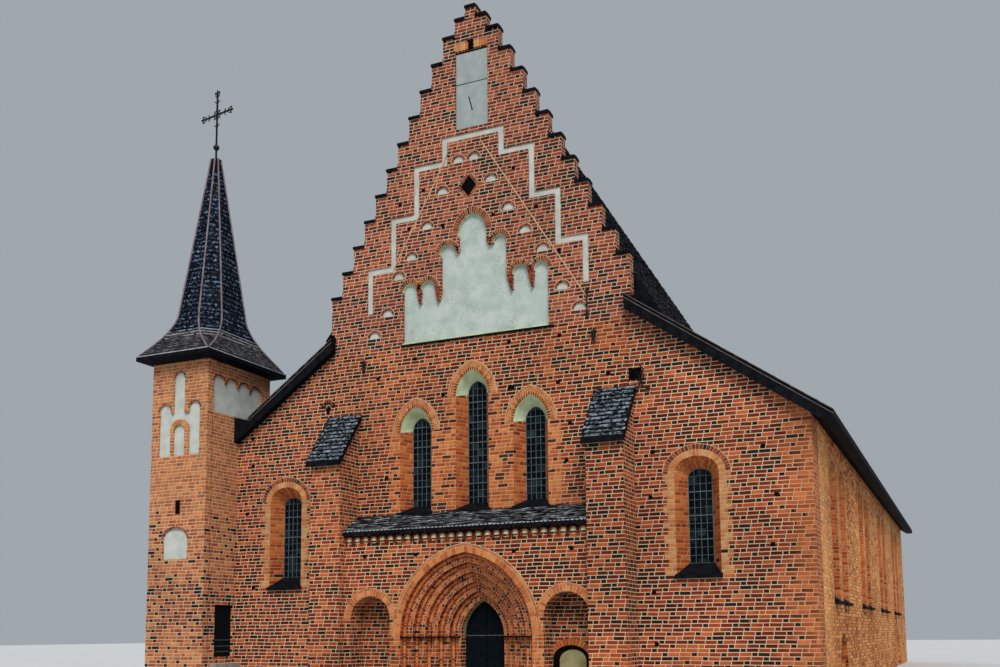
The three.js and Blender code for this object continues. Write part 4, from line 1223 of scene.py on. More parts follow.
@dataclass
class Gable(Part):
    """Plaster, caps and brick rings of the stepped gable."""

    middle: float = 0.045
    leaf: float = 0.3
    overhang: float = 0.045
    lowest: float = 4.59
    run: float = 0.3714
    rise: float = 0.725
    lowest_top: float = 11.535
    cap: float = 0.09
    cap_board: float = 0.012
    niche_sill: float = 9.81
    niche_depth: float = 0.12
    recess: float = 0.05
    band_width: float = 0.18
    hatch_depth: float = 0.06

    LOBES = (
        (-1.97, 0.22, 11.37, 11.605), (-1.38, 0.22, 11.37, 11.605), (-0.76, 0.26, 12.30, 12.555),
        (0.02, 0.435, 12.83, 13.36), (0.87, 0.20, 12.40, 12.60), (1.47, 0.228, 11.40, 11.64),
        (2.09, 0.208, 11.42, 11.64))
    TALL_LOBE = 3
    FEET = (
        (), ((-1.63, 10.94),), ((-0.96, 12.18), (-0.96, 11.12), (-1.05, 10.93)),
        ((-0.381, 12.28), (-0.481, 12.28)), ((0.65, 12.35), (0.50, 12.35)),
        ((1.223, 10.95), (1.07, 11.40)), ((1.83, 10.945),))
    PENDANTS = (
        (-1.675, 0.075, 11.37, -1.63, 10.94), (-1.06, 0.1, 11.37, -1.05, 10.93),
        (-0.44, 0.055, 12.45, -0.43, 12.28), (0.56, 0.09, 12.55, 0.575, 12.35),
        (1.155, 0.09, 11.40, 1.223, 10.95), (1.79, 0.09, 11.42, 1.83, 10.945))
    LUNETTES = (
        (-0.40, 14.93), (0.09, 14.93), (-0.91, 14.09), (0.61, 14.19), (-1.41, 13.14), (1.13, 13.27),
        (-1.92, 12.30), (1.63, 12.53), (-2.33, 11.79), (2.14, 11.92), (-2.70, 10.74), (2.70, 10.77),
        (-3.13, 10.13), (3.18, 10.14))
    BAND = ((3.415, 10.845, 12.19), (2.645, 12.19, 13.62), (1.89, 13.62, 15.05), (0.975, 15.05, 15.74))
    ANCHORS = ((3.40, 9.87, 10.66, 0.08), (3.57, 9.15, 9.55, 0.13), (-3.46, 9.12, 9.50, 0.12))
    OLD_ROOF = (
        ((-2.51, 12.07), (-0.983, 14.745)), ((3.386, 10.426), (0.343, 15.368)),
        ((-0.983, 14.745), (-0.76, 15.25)))

    def shape(self) -> None:
        """Make the gable's pieces."""
        self._niche()
        self._niche_bricks()
        self._band()
        self._lunettes()
        self._hatch()
        self._diamond()
        self._caps()
        self._anchors()
        self._raking_lines()

    def _steps(self) -> list[Point2]:
        """Half width and cap top of each step."""
        regular = [(self.lowest - i * self.run, self.lowest_top + i * self.rise) for i in range(11)]
        return [*regular, (0.49, 19.265), (0.16, 19.595)]

    def _lobes(self) -> list[Arch]:
        """The niche's seven lobes."""
        return [Arch(x, half, self.niche_sill, spring, apex) for x, half, spring, apex in self.LOBES]

    def _niche(self) -> None:
        """Plaster the niche, its sill and the soffits of its lobes."""
        plaster, soffits, lip, board = self.pieces(
            niche_plaster=GREY_PLASTER, niche_soffits=LIMEWASH, niche_sill_lip=LIMEWASH,
            niche_sill=TARRED_BOARD)
        lobes = self._lobes()
        edge, depth, sill = 0.003, self.niche_depth, self.niche_sill
        points = [(lobes[0].x - lobes[0].half - edge, sill), (lobes[-1].x + lobes[-1].half + edge, sill)]
        for lobe, feet in zip(reversed(lobes), reversed(self.FEET)):
            points += [*lobe.outline(edge, 6)[2:], *feet]
        plaster.slab(points, FRONT, SKIN - depth, -depth - SEAT)
        for i, lobe in enumerate(lobes):
            low = 12.45 if i == self.TALL_LOBE else lobe.spring - 0.02
            soffits.strip(lobe, FRONT, (-0.007, 0.002, 0.004 - depth, -SKIN), low)
        lip.along_x(
            [(0.0, sill + 0.03), (0.11, sill + 0.045), (0.11, sill - 0.01), (-0.045, sill - 0.02),
            (-0.045, sill + 0.01)], -2.19, 2.30)
        board.along_x(
            [(0.02, sill - 0.02), (-0.06, sill - 0.025), (-0.06, sill - 0.07), (0.02, sill - 0.07)],
            -2.22, 2.45)

    def _niche_bricks(self) -> None:
        """Ring the lobes with headers and face the pendants between them."""
        rings, beds = self.pieces(niche_rings=DARK_RING, niche_ring_joints=JOINT)
        course, tip = 0.074, 0.022
        for i, lobe in enumerate(self._lobes()):
            thick = 0.17 if i == self.TALL_LOBE else 0.12
            rings.ring(lobe, FRONT, 0.0, thick, 0.008, 0.058, 0.016)
            beds.bed(lobe, FRONT, thick + 0.014)
        for x0, half, top, x1, low in self.PENDANTS:
            count = max(2, round((top - low) / course))
            for k in range(count):
                upper, lower = ((k + share) / count for share in (0.08, 0.92))
                ends = [
                    (x0 + (x1 - x0) * share, half + (tip - half) * share, top + (low - top) * share)
                    for share in (upper, lower)]
                (u0, w0, z0), (u1, w1, z1) = ends
                rings.slab(
                    [(u0 - w0, z0), (u0 + w0, z0), (u1 + w1, z1), (u1 - w1, z1)], FRONT, 0.008, -0.02)

    def _band(self) -> None:
        """Plaster the zigzag band."""
        [band] = self.pieces(zigzag_band_plaster=BAND_PLASTER)
        width, top = self.band_width, self.BAND[-1][2]
        path = [(half, z) for half, low, high in self.BAND for z in (low, high)]
        inner = [(half - width, z if i == 0 else z - width) for i, (half, z) in enumerate(path)]
        for side in (-1, 1):
            outline = [(self.middle + side * (half + 0.002), z) for half, z in path]
            outline += [(self.middle, top), (self.middle, top - width)]
            outline += [(self.middle + side * (half - 0.002), z) for half, z in reversed(inner)]
            band.slab(outline, FRONT, SKIN - self.recess, -self.recess - SEAT)

    def _lunettes(self) -> None:
        """Plaster the small half-rounds and cap each with a ring of headers and a pale joint."""
        plaster, rings, beds = self.pieces(
            lunette_plaster=BAND_PLASTER, lunette_rings=DARK_RING, lunette_ring_joints=JOINT)
        radius = 0.1725
        for x, z in self.LUNETTES:
            arch = Arch(x, radius, z - 0.045, z, z + radius)
            plaster.slab(arch.outline(0.002, 6), FRONT, SKIN - self.recess, -self.recess - SEAT)
            rings.ring(arch, FRONT, 0.0, 0.05, 0.008, 0.1, 0.01)
            beds.bed(arch, FRONT, 0.066, bottom=z - 0.04)

    def _hatch(self) -> None:
        """Board the hatch with its two pale panels, and paint black shadow in the gaps around them, in the
        slit and in the square hole over it.
        """
        panels, ring = self.pieces(hatch_panels=HATCH_PAINT, hatch_head_bricks=PALE_RING)
        [dark] = self.pieces(slot=Slot.IRON, hatch_shadow_gaps=PAINTED_SHADOW)
        left, right, bottom, divider, top = -0.49, 0.535, 15.88, 17.24, 18.22
        depth, gap, half, bricks = self.hatch_depth, 0.014, 0.016, 12
        for low, high in ((bottom, divider), (divider, top - 0.04)):
            panels.plate((left + gap, low + gap), (right - gap, high - gap), FRONT, 0.02 - depth, -depth)
        # Painted shadow: black behind the panel gaps, in the slit and in the square hole.
        dark.plate((left, bottom), (right, top), FRONT, 0.006 - depth, -depth - 0.005)
        dark.slab(
            [(0.035 - half, 16.40), (0.035 + half, 16.40), (-0.076 + half, 16.824),
            (-0.076 - half, 16.824)], FRONT, 0.024 - depth, -depth)
        dark.plate((-0.11, top), (0.09, 18.53), FRONT, 0.004, -0.02)
        for k in range(bricks):
            start = left + (right - left) * k / bricks
            if abs(start + 0.04) > 0.1:
                ring.plate((start + 0.006, 18.245), (start + 0.078, 18.46), FRONT, 0.006)

    def _diamond(self) -> None:
        """Paint the shade in the diamond-shaped opening black and border it with headers."""
        [hole] = self.pieces(slot=Slot.IRON, diamond_backing=PAINTED_SHADOW)
        border, bed = self.pieces(diamond_border=DARK_RING, diamond_border_joints=JOINT)
        x, z, half, up, thick, bricks = -0.08, 14.155, 0.245, 0.315, 0.085, 6
        corners = [Vector(corner) for corner in ((x, z - up), (x + half, z), (x, z + up), (x - half, z))]
        # Painted shadow: a black plate deep in the opening.
        hole.slab(corners, FRONT, -0.025, -0.06)
        for first, second in zip(corners, [*corners[1:], corners[0]]):
            along = second - first
            out = Vector((along.y, -along.x)).normalized() * thick
            wide = out * 1.15
            bed.slab([first, second, second + wide, first + wide], FRONT)
            for k in range(bricks):
                start, end = (first + along * ((k + share) / bricks) for share in (0.1, 0.9))
                border.slab([start, end, end + out, start + out], FRONT, 0.007)

    def _caps(self) -> None:
        """Cover the steps with tarred saddle caps and flash their outer drops."""
        [caps] = self.pieces(gable_step_caps=TARRED_BOARD)
        [flashing] = self.pieces(slot=Slot.IRON, gable_step_flashing=TARRED_BOARD)
        steps = self._steps()
        front, back = -self.overhang - self.cap_board, self.leaf + self.overhang + self.cap_board
        for (half, top), above in zip(steps, [*steps[1:], None]):
            low = top - self.cap
            edge, foot = low + 0.055 + self.cap_board, low - self.cap_board
            ridge = top + (0.008 if above else 0.0)
            section = [(front, foot), (front, edge), (self.leaf / 2, ridge), (back, edge), (back, foot)]
            if not above:
                caps.along_x(section, -half - 0.01, half + 0.01)
                continue
            for side in (-1, 1):
                inner = side * above[0]
                caps.along_x(section, inner, side * (half + 0.01))
                flashing.block((inner, -0.01, top - 0.02), (side * (above[0] + 0.014), 0.31, top + 0.09))

    def _anchors(self) -> None:
        """Hang the forged wall anchors."""
        [iron] = self.pieces(gable_anchors=IRON)
        out = -0.04
        for x, low, high, size in self.ANCHORS:
            iron.rod((x, out, low), (x, out, high), 0.02, 8)
            for z in (low + size, high - size):
                for lean in (-1.0, 0.25, 1.0):
                    for side in (-1, 1):
                        end = (x + side * size * math.cos(lean), out, z + size * math.sin(lean))
                        iron.rod((x, out, z), end, 0.015, 6, 0.6)
            iron.rod((x, 0.02, (low + high) / 2), (x, out, (low + high) / 2), 0.02, 8)

    def _raking_lines(self) -> None:
        """Draw the pale raking joints of the old roof line."""
        [lines] = self.pieces(raking_joints=JOINT)
        for line in self.OLD_ROOF:
            foot, head = (Vector(end) for end in line)
            along = (head - foot).normalized()
            half = Vector((-along.y, along.x)) * 0.014
            lines.slab([foot - half, head - half, head + half, foot + half], FRONT, 0.006)


@dataclass(frozen=True)
class WindowRow:
    """A row of like windows and the way that they are dressed."""

    name: str
    plane: WallPlane
    windows: tuple[tuple[Arch, Arch], ...]
    glass: float
    band: float
    brick: float
    pane: float
    plastered: bool = False
    header: float = 0.0
    sill: float = 0.08


@dataclass
class Windows(Part):
    """Rings, jambs, splays, sills and lead bars of the windows."""

    reveal: float = 0.38
    columns: int = 4
    stay: int = 3

    FRONT_ARCHES = tuple(
        (Arch(x, 0.5, 4.96, 7.25 + up, 7.97 + up), Arch(x, 0.285, 5.15, 7.35 + up, 7.70 + up))
        for x, up in ((-1.755, 0.0), (0.0, 0.89), (1.735, 0.0)))
    AISLE_ARCHES = tuple(
        (Arch(x, 0.56, 3.0, 5.54, 5.96), Arch(x, 0.305, 3.3, 5.465, 5.685)) for x in (-6.165, 6.165))
    LANCETS = tuple(
        (Arch(4.8 + 7.3 * bay + offset, 0.70, 2.39, 5.42, 6.09),
         Arch(4.8 + 7.3 * bay + offset, 0.43, 2.72, 5.36, 5.79))
        for bay in range(4) for offset in (-1.02, 1.02))

    def shape(self) -> None:
        """Make all windows' pieces."""
        for row in (
                WindowRow("front", FRONT, self.FRONT_ARCHES, self.reveal, 0.17, 0.06, 0.19, True),
                WindowRow(
                    "aisle_front", AISLE_FRONT, self.AISLE_ARCHES, self.reveal, 0.155, 0.07, 0.2,
                    header=0.135, sill=0.09),
                WindowRow("south", SOUTH_FACE, self.LANCETS, 0.88, 0.2, 0.08, 0.2),
                WindowRow("north", NORTH_FACE, self.LANCETS, 0.88, 0.2, 0.08, 0.2),
                WindowRow("east", EAST_FACE, self.FRONT_ARCHES, 0.88, 0.17, 0.06, 0.19, True)):
            self._row(row)

    def _row(self, row: WindowRow) -> None:
        """Dress a row of windows.

        Args:
            row: the windows and their dressing.
        """
        if row.plastered:
            ring, jamb, head = ORANGE_RING, DRESSED_BRICK, LIMEWASH
        else:
            ring, jamb, head = PALE_RING, QUOIN_BRICK, ORANGE_RING
        names = {
            "rings": ring, "ring_joints": JOINT, "jambs": jamb, "splays": SHADED_SPLAY_BRICK, "heads": head,
            "cames": CAME, "sills": TARRED_BOARD,
            **({"headers": DARK_RING} if row.header else {"ring_dashes": PAINTED_SHADOW})}
        rings, beds, jambs, splays, heads, bars, sills, marks = self.pieces(
            **{f"{row.name}_window_{word}": finish for word, finish in names.items()})
        for outer, inner in row.windows:
            rings.ring(outer, row.plane, 0.0, row.band, 0.008, row.brick)
            if row.header:
                marks.ring(outer, row.plane, row.band + 0.012, row.band + row.header, 0.009, row.brick)
            else:
                rings.ring(outer, row.plane, row.band + 0.028, row.band + 0.066, 0.012, 0.2)
                # Painted shadow: black dashes at the ring's inner edge stand for the shade between its
                # bricks; the thin arc at its outer edge is drawn in the same black.
                brick, joint = row.brick * 0.4, row.brick * 0.6 + 0.014
                marks.ring(outer, row.plane, -0.002, 0.07, 0.0105, brick, joint)
                marks.ring(outer, row.plane, row.band, row.band + 0.014, 0.005, 0.4, 0.002)
            beds.bed(outer, row.plane, row.band + (row.header + 0.016 if row.header else 0.088))
            height = outer.spring - outer.bottom
            count = 1 if row.plastered else round(height / 0.2)
            for side in (-1, 1):
                for k in range(count):
                    wide = 0.366 if row.plastered else (0.3, 0.19)[k % 2]
                    low = outer.bottom + k * height / count
                    jambs.plate(*outer.jamb(side, 0.0, wide, low, low + height / count), row.plane)
                self._splay(splays, outer, inner, row.plane, side)
            bricks = 0 if row.plastered else round(outer.head_length() / 0.08)
            heads.lining(outer, inner, row.plane, self.reveal, bricks)
            self._bars(bars, inner, row)
            self._sill(sills, outer, inner, row)

    def _splay(self, splays: Mesher, outer: Arch, inner: Arch, plane: WallPlane, side: int) -> None:
        """Line one splayed jamb of an opening with dressed bricks, darker partly from painted shade.

        Args:
            splays: collects the lining.
            outer: arch in the wall face.
            inner: arch at the glass.
            plane: the wall face.
            side: 1 for the right jamb and -1 for the left.
        """
        rings = []
        for arch, out in ((outer, -0.001), (inner, -self.reveal)):
            (edge, low), (face, top) = arch.jamb(side, 0.004, -0.005, arch.bottom, outer.spring)
            rings.append(
                [plane.at(u, v, out) for u, v in ((edge, low), (face, low), (face, top), (edge, top))])
        splays.loft(rings)

    def _bars(self, bars: Mesher, inner: Arch, row: WindowRow) -> None:
        """Lead and iron bars of one window.

        Args:
            bars: collects them.
            inner: arch at the glass.
            row: the window's row.
        """
        step = 2 * inner.half / self.columns
        back = -row.glass - 0.001
        for k in range(self.columns + 1):
            u = inner.x - inner.half + step * k
            between = 0 < k < self.columns
            thick = 0.0055 if between else 0.008
            top = inner.height(abs(u - inner.x) - 0.01) if between else inner.spring
            bars.plate((u - thick, inner.bottom), (u + thick, top), row.plane, 0.018 - row.glass, back)
        for k in range(int((inner.apex - inner.bottom) / row.pane) + 1):
            z = inner.bottom + k * row.pane
            half = inner.half_width(z)
            thick, proud = (0.0045, 0.018) if k % self.stay else (0.010, 0.03)
            if half > 0.04:
                bars.plate(
                    (inner.x - half, z - thick), (inner.x + half, z + thick), row.plane,
                    proud - row.glass, back)
        bars.strip(inner, row.plane, (-0.012, 0.0, back, 0.022 - row.glass))

    def _sill(self, sills: Mesher, outer: Arch, inner: Arch, row: WindowRow) -> None:
        """A thick black sill that slopes out of the opening and over the wall face.

        Args:
            sills: collects it.
            outer: arch in the wall face.
            inner: arch at the glass.
            row: the window's row.
        """
        low, wide = outer.bottom, outer.half + 0.03
        section = (
            (0.005 - self.reveal, inner.half - 0.003, inner.bottom - 0.03, inner.bottom + 0.022),
            (0.0, outer.half - 0.006, low - 0.02, low + 0.03), (0.002, wide, low - row.sill, low + 0.03),
            (0.11, wide, low - row.sill, low - 0.01))
        sills.loft([
            [row.plane.at(u, v, out) for u, v in opposite((outer.x - half, under), (outer.x + half, top))]
            for out, half, under, top in section])


@dataclass
class Porch(Part):
    """Portal orders, frieze, niches and roof of the porch front."""

    roofer: Roofer
    x: float = 0.08
    spring: float = 1.53
    outer: Point2 = (1.93, 3.74)
    inner: Point2 = (0.65, 2.52)
    orders: int = 6
    depth: float = 0.224
    roll_radius: float = 0.05
    roll_room: float = 0.012
    impost: float = 0.035

    def order(self, number: int) -> Arch:
        """Arch of one order, counted from the outside."""
        share = number / (self.orders - 1)
        half, apex = (first + (last - first) * share for first, last in zip(self.outer, self.inner))
        return Arch(self.x, half, 0.0, self.spring, apex)

    def shape(self) -> None:
        """Make the porch's pieces."""
        self._outer_ring()
        self._orders()
        self._soffit()
        self._niches()
        self._low_niche()
        self._frieze()
        self._roof()

    def _outer_ring(self) -> None:
        """The pale ring around the portal and its dressed jambs."""
        ring, bed, jambs = self.pieces(
            portal_outer_ring=ORANGE_RING, portal_outer_ring_joints=JOINT,
            portal_jamb_dressing=DRESSED_BRICK)
        arch = self.order(0)
        ring.ring(arch, PORCH_FACE, 0.0, 0.155, 0.008, 0.11, 0.012)
        ring.ring(arch, PORCH_FACE, 0.18, 0.23, 0.012, 0.24, 0.012)
        bed.bed(arch, PORCH_FACE, 0.252)
        for side in (-1, 1):
            jambs.plate(*arch.jamb(side, 0.0, 0.19, 0.0, self.spring), PORCH_FACE)

    def _orders(self) -> None:
        """Radial bricks on the orders' faces and soffits, rolls in their nooks, and the impost course in
        painted-shadow black.
        """
        faces, soffits, beds, rolls, jambs, imposts = self.pieces(
            portal_face_bricks=BANDED_RING, portal_soffit_bricks=BANDED_RING, portal_joints=JOINT,
            portal_rolls=ROLL_BRICK, portal_order_jambs=DRESSED_BRICK, portal_imposts=PAINTED_SHADOW)
        step = self.order(0).half - self.order(1).half
        taken = 2 * self.roll_radius + self.roll_room
        room = step - taken
        low = self.spring - self.impost
        for number in range(self.orders):
            arch = self.order(number)
            front = PORCH_FACE.face + number * self.depth
            nook = front + self.depth
            plane = WallPlane(front, Facing.WEST)
            if number:
                ribs = ((0.008, 0.072, 0.016), (0.088, room, 0.012))
                for near, far, proud in ribs:
                    faces.ring(arch, plane, near, far, proud, 0.064, 0.02)
                    for side in (-1, 1):
                        jambs.plate(*arch.jamb(side, near, far, 0.0, low), plane, proud)
                beds.bed(arch, plane, room, 0.006)
            if number + 1 < self.orders:
                count = round(arch.head_length() / 0.084)
                soffits.lining(arch, arch, plane, self.depth - taken, count, 0.02, (0.004, -0.009, 0.0))
                self._roll(rolls, arch, nook, self.roll_radius, 0.084, 0.018)
                self._roll(beds, arch, nook, self.roll_radius * 0.84, 0.3, 0.0)
                for side in (-1, 1):
                    edge = arch.x + side * arch.half
                    # The impost course is drawn in the painted-shadow black: partly the line's own dark
                    # colour, partly painted shade under it.
                    imposts.block(
                        (edge + side * 0.002, front + 0.002, low),
                        (edge - side * (step - 0.004), nook + 0.002, self.spring))
                    jambs.block((edge - 0.004, front + 0.004, 0.0), (edge + 0.004, nook - 0.004, low))

    def _roll(
            self, mesher: Mesher, arch: Arch, nook: float, radius: float, step: float,
            joint: float) -> None:
        """One roll from foot to foot, as single bricks where it has joints.

        Args:
            mesher: collects the roll.
            arch: arch of the soffit that the roll touches.
            nook: place of the face behind the roll.
            radius: the roll's radius.
            step: length of a brick.
            joint: width of a joint, or 0 for a smooth roll.
        """
        offsets = [(radius * math.cos(a) - self.roll_radius, radius * math.sin(a)) for a in turns(8)]
        rings = [
            [(u + a * out, nook - self.roll_radius + deep, v + b * out) for out, deep in offsets]
            for (u, v), (a, b) in arch.stations(step, 0.02)]
        if not joint:
            mesher.loft(rings)
            return
        share = joint / step / 2
        for first, second in zip(rings, rings[1:]):
            mesher.loft([
                [Vector(a).lerp(Vector(b), way) for a, b in zip(first, second)]
                for way in (share, 1 - share)])

    def _soffit(self) -> None:
        """The pale plaster strip on the innermost soffit."""
        [strip] = self.pieces(portal_soffit_plaster=OCHRE)
        near, far, skin = 0.57, 0.70, 0.006
        strip.loft([
            [(u, near, v), (u, far, v), (u - a * skin, far, v - b * skin),
             (u - a * skin, near, v - b * skin)]
            for (u, v), (a, b) in self.order(self.orders - 1).stations(0.15, self.spring)])

    def _niches(self) -> None:
        """Rings and dressed jambs of the two niches."""
        rings, beds, jambs = self.pieces(
            porch_niche_rings=ORANGE_RING, porch_niche_ring_joints=JOINT, porch_niche_jambs=DRESSED_BRICK)
        for side in (-1, 1):
            arch = Arch(self.x + side * 2.87, 0.62, 0.0, 2.02, 2.64)
            rings.ring(arch, PORCH_FACE, 0.0, 0.15, 0.008, 0.07, 0.018)
            rings.ring(arch, PORCH_FACE, 0.165, 0.215, 0.011, 0.2, 0.014)
            beds.bed(arch, PORCH_FACE, 0.225)
            jambs.plate(*arch.jamb(-side, 0.0, 0.1, 0.0, arch.spring), PORCH_FACE, 0.004)

    def _low_niche(self) -> None:
        """The low arch with plaster at the back of the right niche, and painted shadow in the opening
        around the lit plaster.
        """
        plaster, ring, shadow = self.pieces(
            right_niche_plaster=OCHRE, right_niche_ring=ORANGE_RING, right_niche_depth=PAINTED_SHADOW)
        back = WallPlane(-0.06, Facing.WEST)
        low = Arch(2.83, 0.50, 0.0, 0.93, 1.29)
        lit = Arch(2.87, 0.36, 0.0, 0.90, 1.17)
        plaster.slab(lit.outline(), back, SKIN)
        ring.ring(low, back, 0.0, 0.16, 0.05, 0.07, 0.016)
        # Painted shadow: a dark plate fills the opening, with the lit plaster in front of it.
        shadow.slab(low.outline(), back, 0.009)

    def _frieze(self) -> None:
        """The row of small round arches right under the eave, over a strip of plaster, with the eave's
        shadow painted black above them.
        """
        plaster, bricks, shade = self.pieces(
            frieze_plaster=LIMEWASH, frieze_arches=SHADED_FRIEZE_BRICK, frieze_shade_board=TARRED_BOARD)
        count, pitch, low, high, proud = 27, 0.265, 4.03, 4.31, 0.075
        start = -count * pitch / 2
        for k in range(count):
            arch = Arch(start + (k + 0.5) * pitch, 0.085, low + 0.13, low + 0.14, low + 0.225)
            plaster.slab(arch.outline(-0.001), PORCH_FACE, 0.03)
            bricks.bed(arch, PORCH_FACE, 0.028, proud, low + 0.06)
        # Painted shadow: black plates over the arches' upper part stand for the shade under the eave.
        shade.plate((start, low + 0.15), (-start, high), PORCH_FACE, SKIN)
        shade.plate((start, low + 0.245), (-start, high), PORCH_FACE, proud)

    def _roof(self) -> None:
        """Shingles, fascia and a row of painted highlights along the eave of the porch roof."""
        line, trim = self.pieces(porch_eave_shingle_ends=PALE_COURSE_AND_HIGHLIGHT, porch_fascia=TARRED_BOARD)
        half, eave, top, reach, ends = 3.62, 4.43, 4.92, 0.82, 60
        slope = Vector((0.0, reach, top - eave))
        self.roofer.cover(
            "porch_roof_shingles", PORCH_SHINGLE, (-half, -reach, eave), ((1.0, 0.0, 0.0), slope),
            (2 * half, slope.length), (0.125, 0.14), 3)
        # Painted highlights: pale blocks in a dotted row along the eave's edge.
        for k in range(ends):
            start = -half + 2 * half * k / ends
            line.block(
                (start + 0.02, -reach - 0.03, eave - 0.012), (start + 0.1, -reach - 0.015, eave + 0.012))
        trim.along_x(opposite((-reach - 0.015, eave - 0.1), (-reach, eave + 0.01)), -half, half)


@dataclass
class ButtressRoofs(Part):
    """Shingled caps of the two buttresses."""

    roofer: Roofer
    inner: float = 3.56
    outer: float = 4.66
    reach: float = 1.12
    eave: float = 6.40
    top: float = 7.89
    board: float = 0.02

    def shape(self) -> None:
        """Shingle and trim both roofs."""
        [trim] = self.pieces(buttress_roof_trim=TARRED_BOARD)
        slope = Vector((0.0, self.reach, self.top - self.eave))
        width = self.outer - self.inner
        for name, x in (("left", -self.outer), ("right", self.inner)):
            self.roofer.cover(
                name + "_buttress_shingles", CAP_SHINGLE, (x, -self.reach, self.eave),
                ((1.0, 0.0, 0.0), slope), (width, slope.length), (0.085, 0.155), 5)
            for edge in (x - self.board, x + width):
                trim.along_x(
                    [(-self.reach, self.eave - 0.13), (-self.reach, self.eave + 0.03),
                    (0.0, self.top + 0.03), (0.0, self.top - 0.13)], edge, edge + self.board)
            fascia = opposite((-self.reach - self.board, self.eave - 0.12), (-self.reach, self.eave + 0.01))
            trim.along_x(fascia, x, x + width)


@dataclass
class MainRoofs(Part):
    """Shingles, ridges and verge boards of the nave and the aisles."""

    roofer: Roofer
    unit: Point2 = (0.165, 0.2)
    verge: float = -0.2
    east: float = 32.65
    slope: float = 0.698
    axis: Point2 = (13.39, 13.30)
    outer: float = 9.49
    inner: float = 4.46
    field: float = 5.25
    tower_side: float = 7.43
    tower_back: float = 1.55
    front: float = 0.4
    board: float = 0.025

    def shape(self) -> None:
        """Cover all faces."""
        self._nave("west_bay", 1.65, (0.37, 7.39), (5.45, 5.54))
        self._nave("nave", 1.2, (7.42, self.east), (6.18, 6.36))
        front, tower = self.front, self.tower_side
        for name, side, inner, outer, ends in (
                ("south_verge", 1, self.inner, self.outer, (self.verge, front)),
                ("south_aisle", 1, self.field, self.outer, (front, self.east)),
                ("north_verge", -1, self.inner, tower, (self.verge, front)),
                ("north_front", -1, self.field, tower, (front, self.tower_back)),
                ("north_aisle", -1, self.field, self.outer, (self.tower_back, self.east))):
            self._face(name, side, (outer, inner), self.axis[0 if side > 0 else 1], self.slope, ends, 13)
        self._verges()

    def _face(
            self, name: str, side: int, reaches: Point2, top: float, slope: float, ends: Point2,
            seed: int) -> None:
        """One roof face.

        Args:
            name: first words of the piece's name.
            side: 1 for the south side and -1 for the north one.
            reaches: distance of its eave and of its upper edge from the axis.
            top: height that it has, or would have, over the axis.
            slope: rise for each metre across.
            ends: west and east end.
            seed: seed of the unevenness.
        """
        run = reaches[0] - reaches[1]
        corner = (side * reaches[0], ends[0 if side > 0 else 1], top - slope * reaches[0])
        self.roofer.cover(
            name + "_shingles", ROOF_SHINGLE, corner, ((0.0, side, 0.0), (-side * run, 0.0, slope * run)),
            (ends[1] - ends[0], run * math.hypot(1.0, slope)), self.unit, seed)

    def _nave(self, name: str, slope: float, ends: Point2, reaches: Point2) -> None:
        """Both faces and the ridge of one nave roof.

        Args:
            name: first words of the pieces' names.
            slope: rise of the roof for each metre across.
            ends: west and east end.
            reaches: distance from the axis to the south and the north eave.
        """
        top = 10.775 + slope * 4.45 + 0.25 * math.hypot(1.0, slope)
        for word, side, reach, seed in (("_south", 1, reaches[0], 11), ("_north", -1, reaches[1], 12)):
            self._face(name + word, side, (reach, 0.0), top, slope, ends, seed)
        [ridge] = self.pieces(**{name + "_ridge": TARRED_BOARD})
        half = 0.16
        low = top - half * slope
        ridge.along_y(
            [(-half, low + 0.03), (0.0, top + 0.035), (half, low + 0.03), (half, low + 0.055),
            (0.0, top + 0.06), (-half, low + 0.055)], *ends)

    def _verges(self) -> None:
        """Barge boards with a thin brown line along the west verges, and the eaves' fascias."""
        boards, trims, flashing = self.pieces(
            aisle_barge_boards=TARRED_BOARD, aisle_drip_edges=BROWN_TRIM, valley_flashing=LEAD)
        depth, fascia = 0.37, 0.15
        back, proud = self.verge, self.verge - self.board
        for side, axis, outer in ((1, self.axis[0], 9.52), (-1, self.axis[1], 7.42)):
            ends = [(side * reach, axis - self.slope * reach) for reach in (self.inner, outer)]
            (u0, high), (u1, low) = ends
            tail = [(side * (outer - (depth - fascia) / self.slope), low - fascia), (u1, low - fascia)]
            boards.along_y(
                [(u0, high - depth), *(tail if side > 0 else [(u1, low - depth)]), (u1, low + 0.005),
                (u0, high + 0.005)], proud, back)
            for top, thick, out in ((-0.07, 0.02, 0.012), (0.03, 0.016, 0.02)):
                trims.along_y(
                    [(u0, high + top - thick), (u1, low + top - thick), (u1, low + top),
                    (u0, high + top)], proud - out, back - 0.02)
        flashing.slab(
            [(-7.95, 8.20), (-7.45, 8.06), (-7.45, 8.095), (-7.95, 8.235)],
            WallPlane(self.verge, Facing.WEST), 0.04, 0.0)


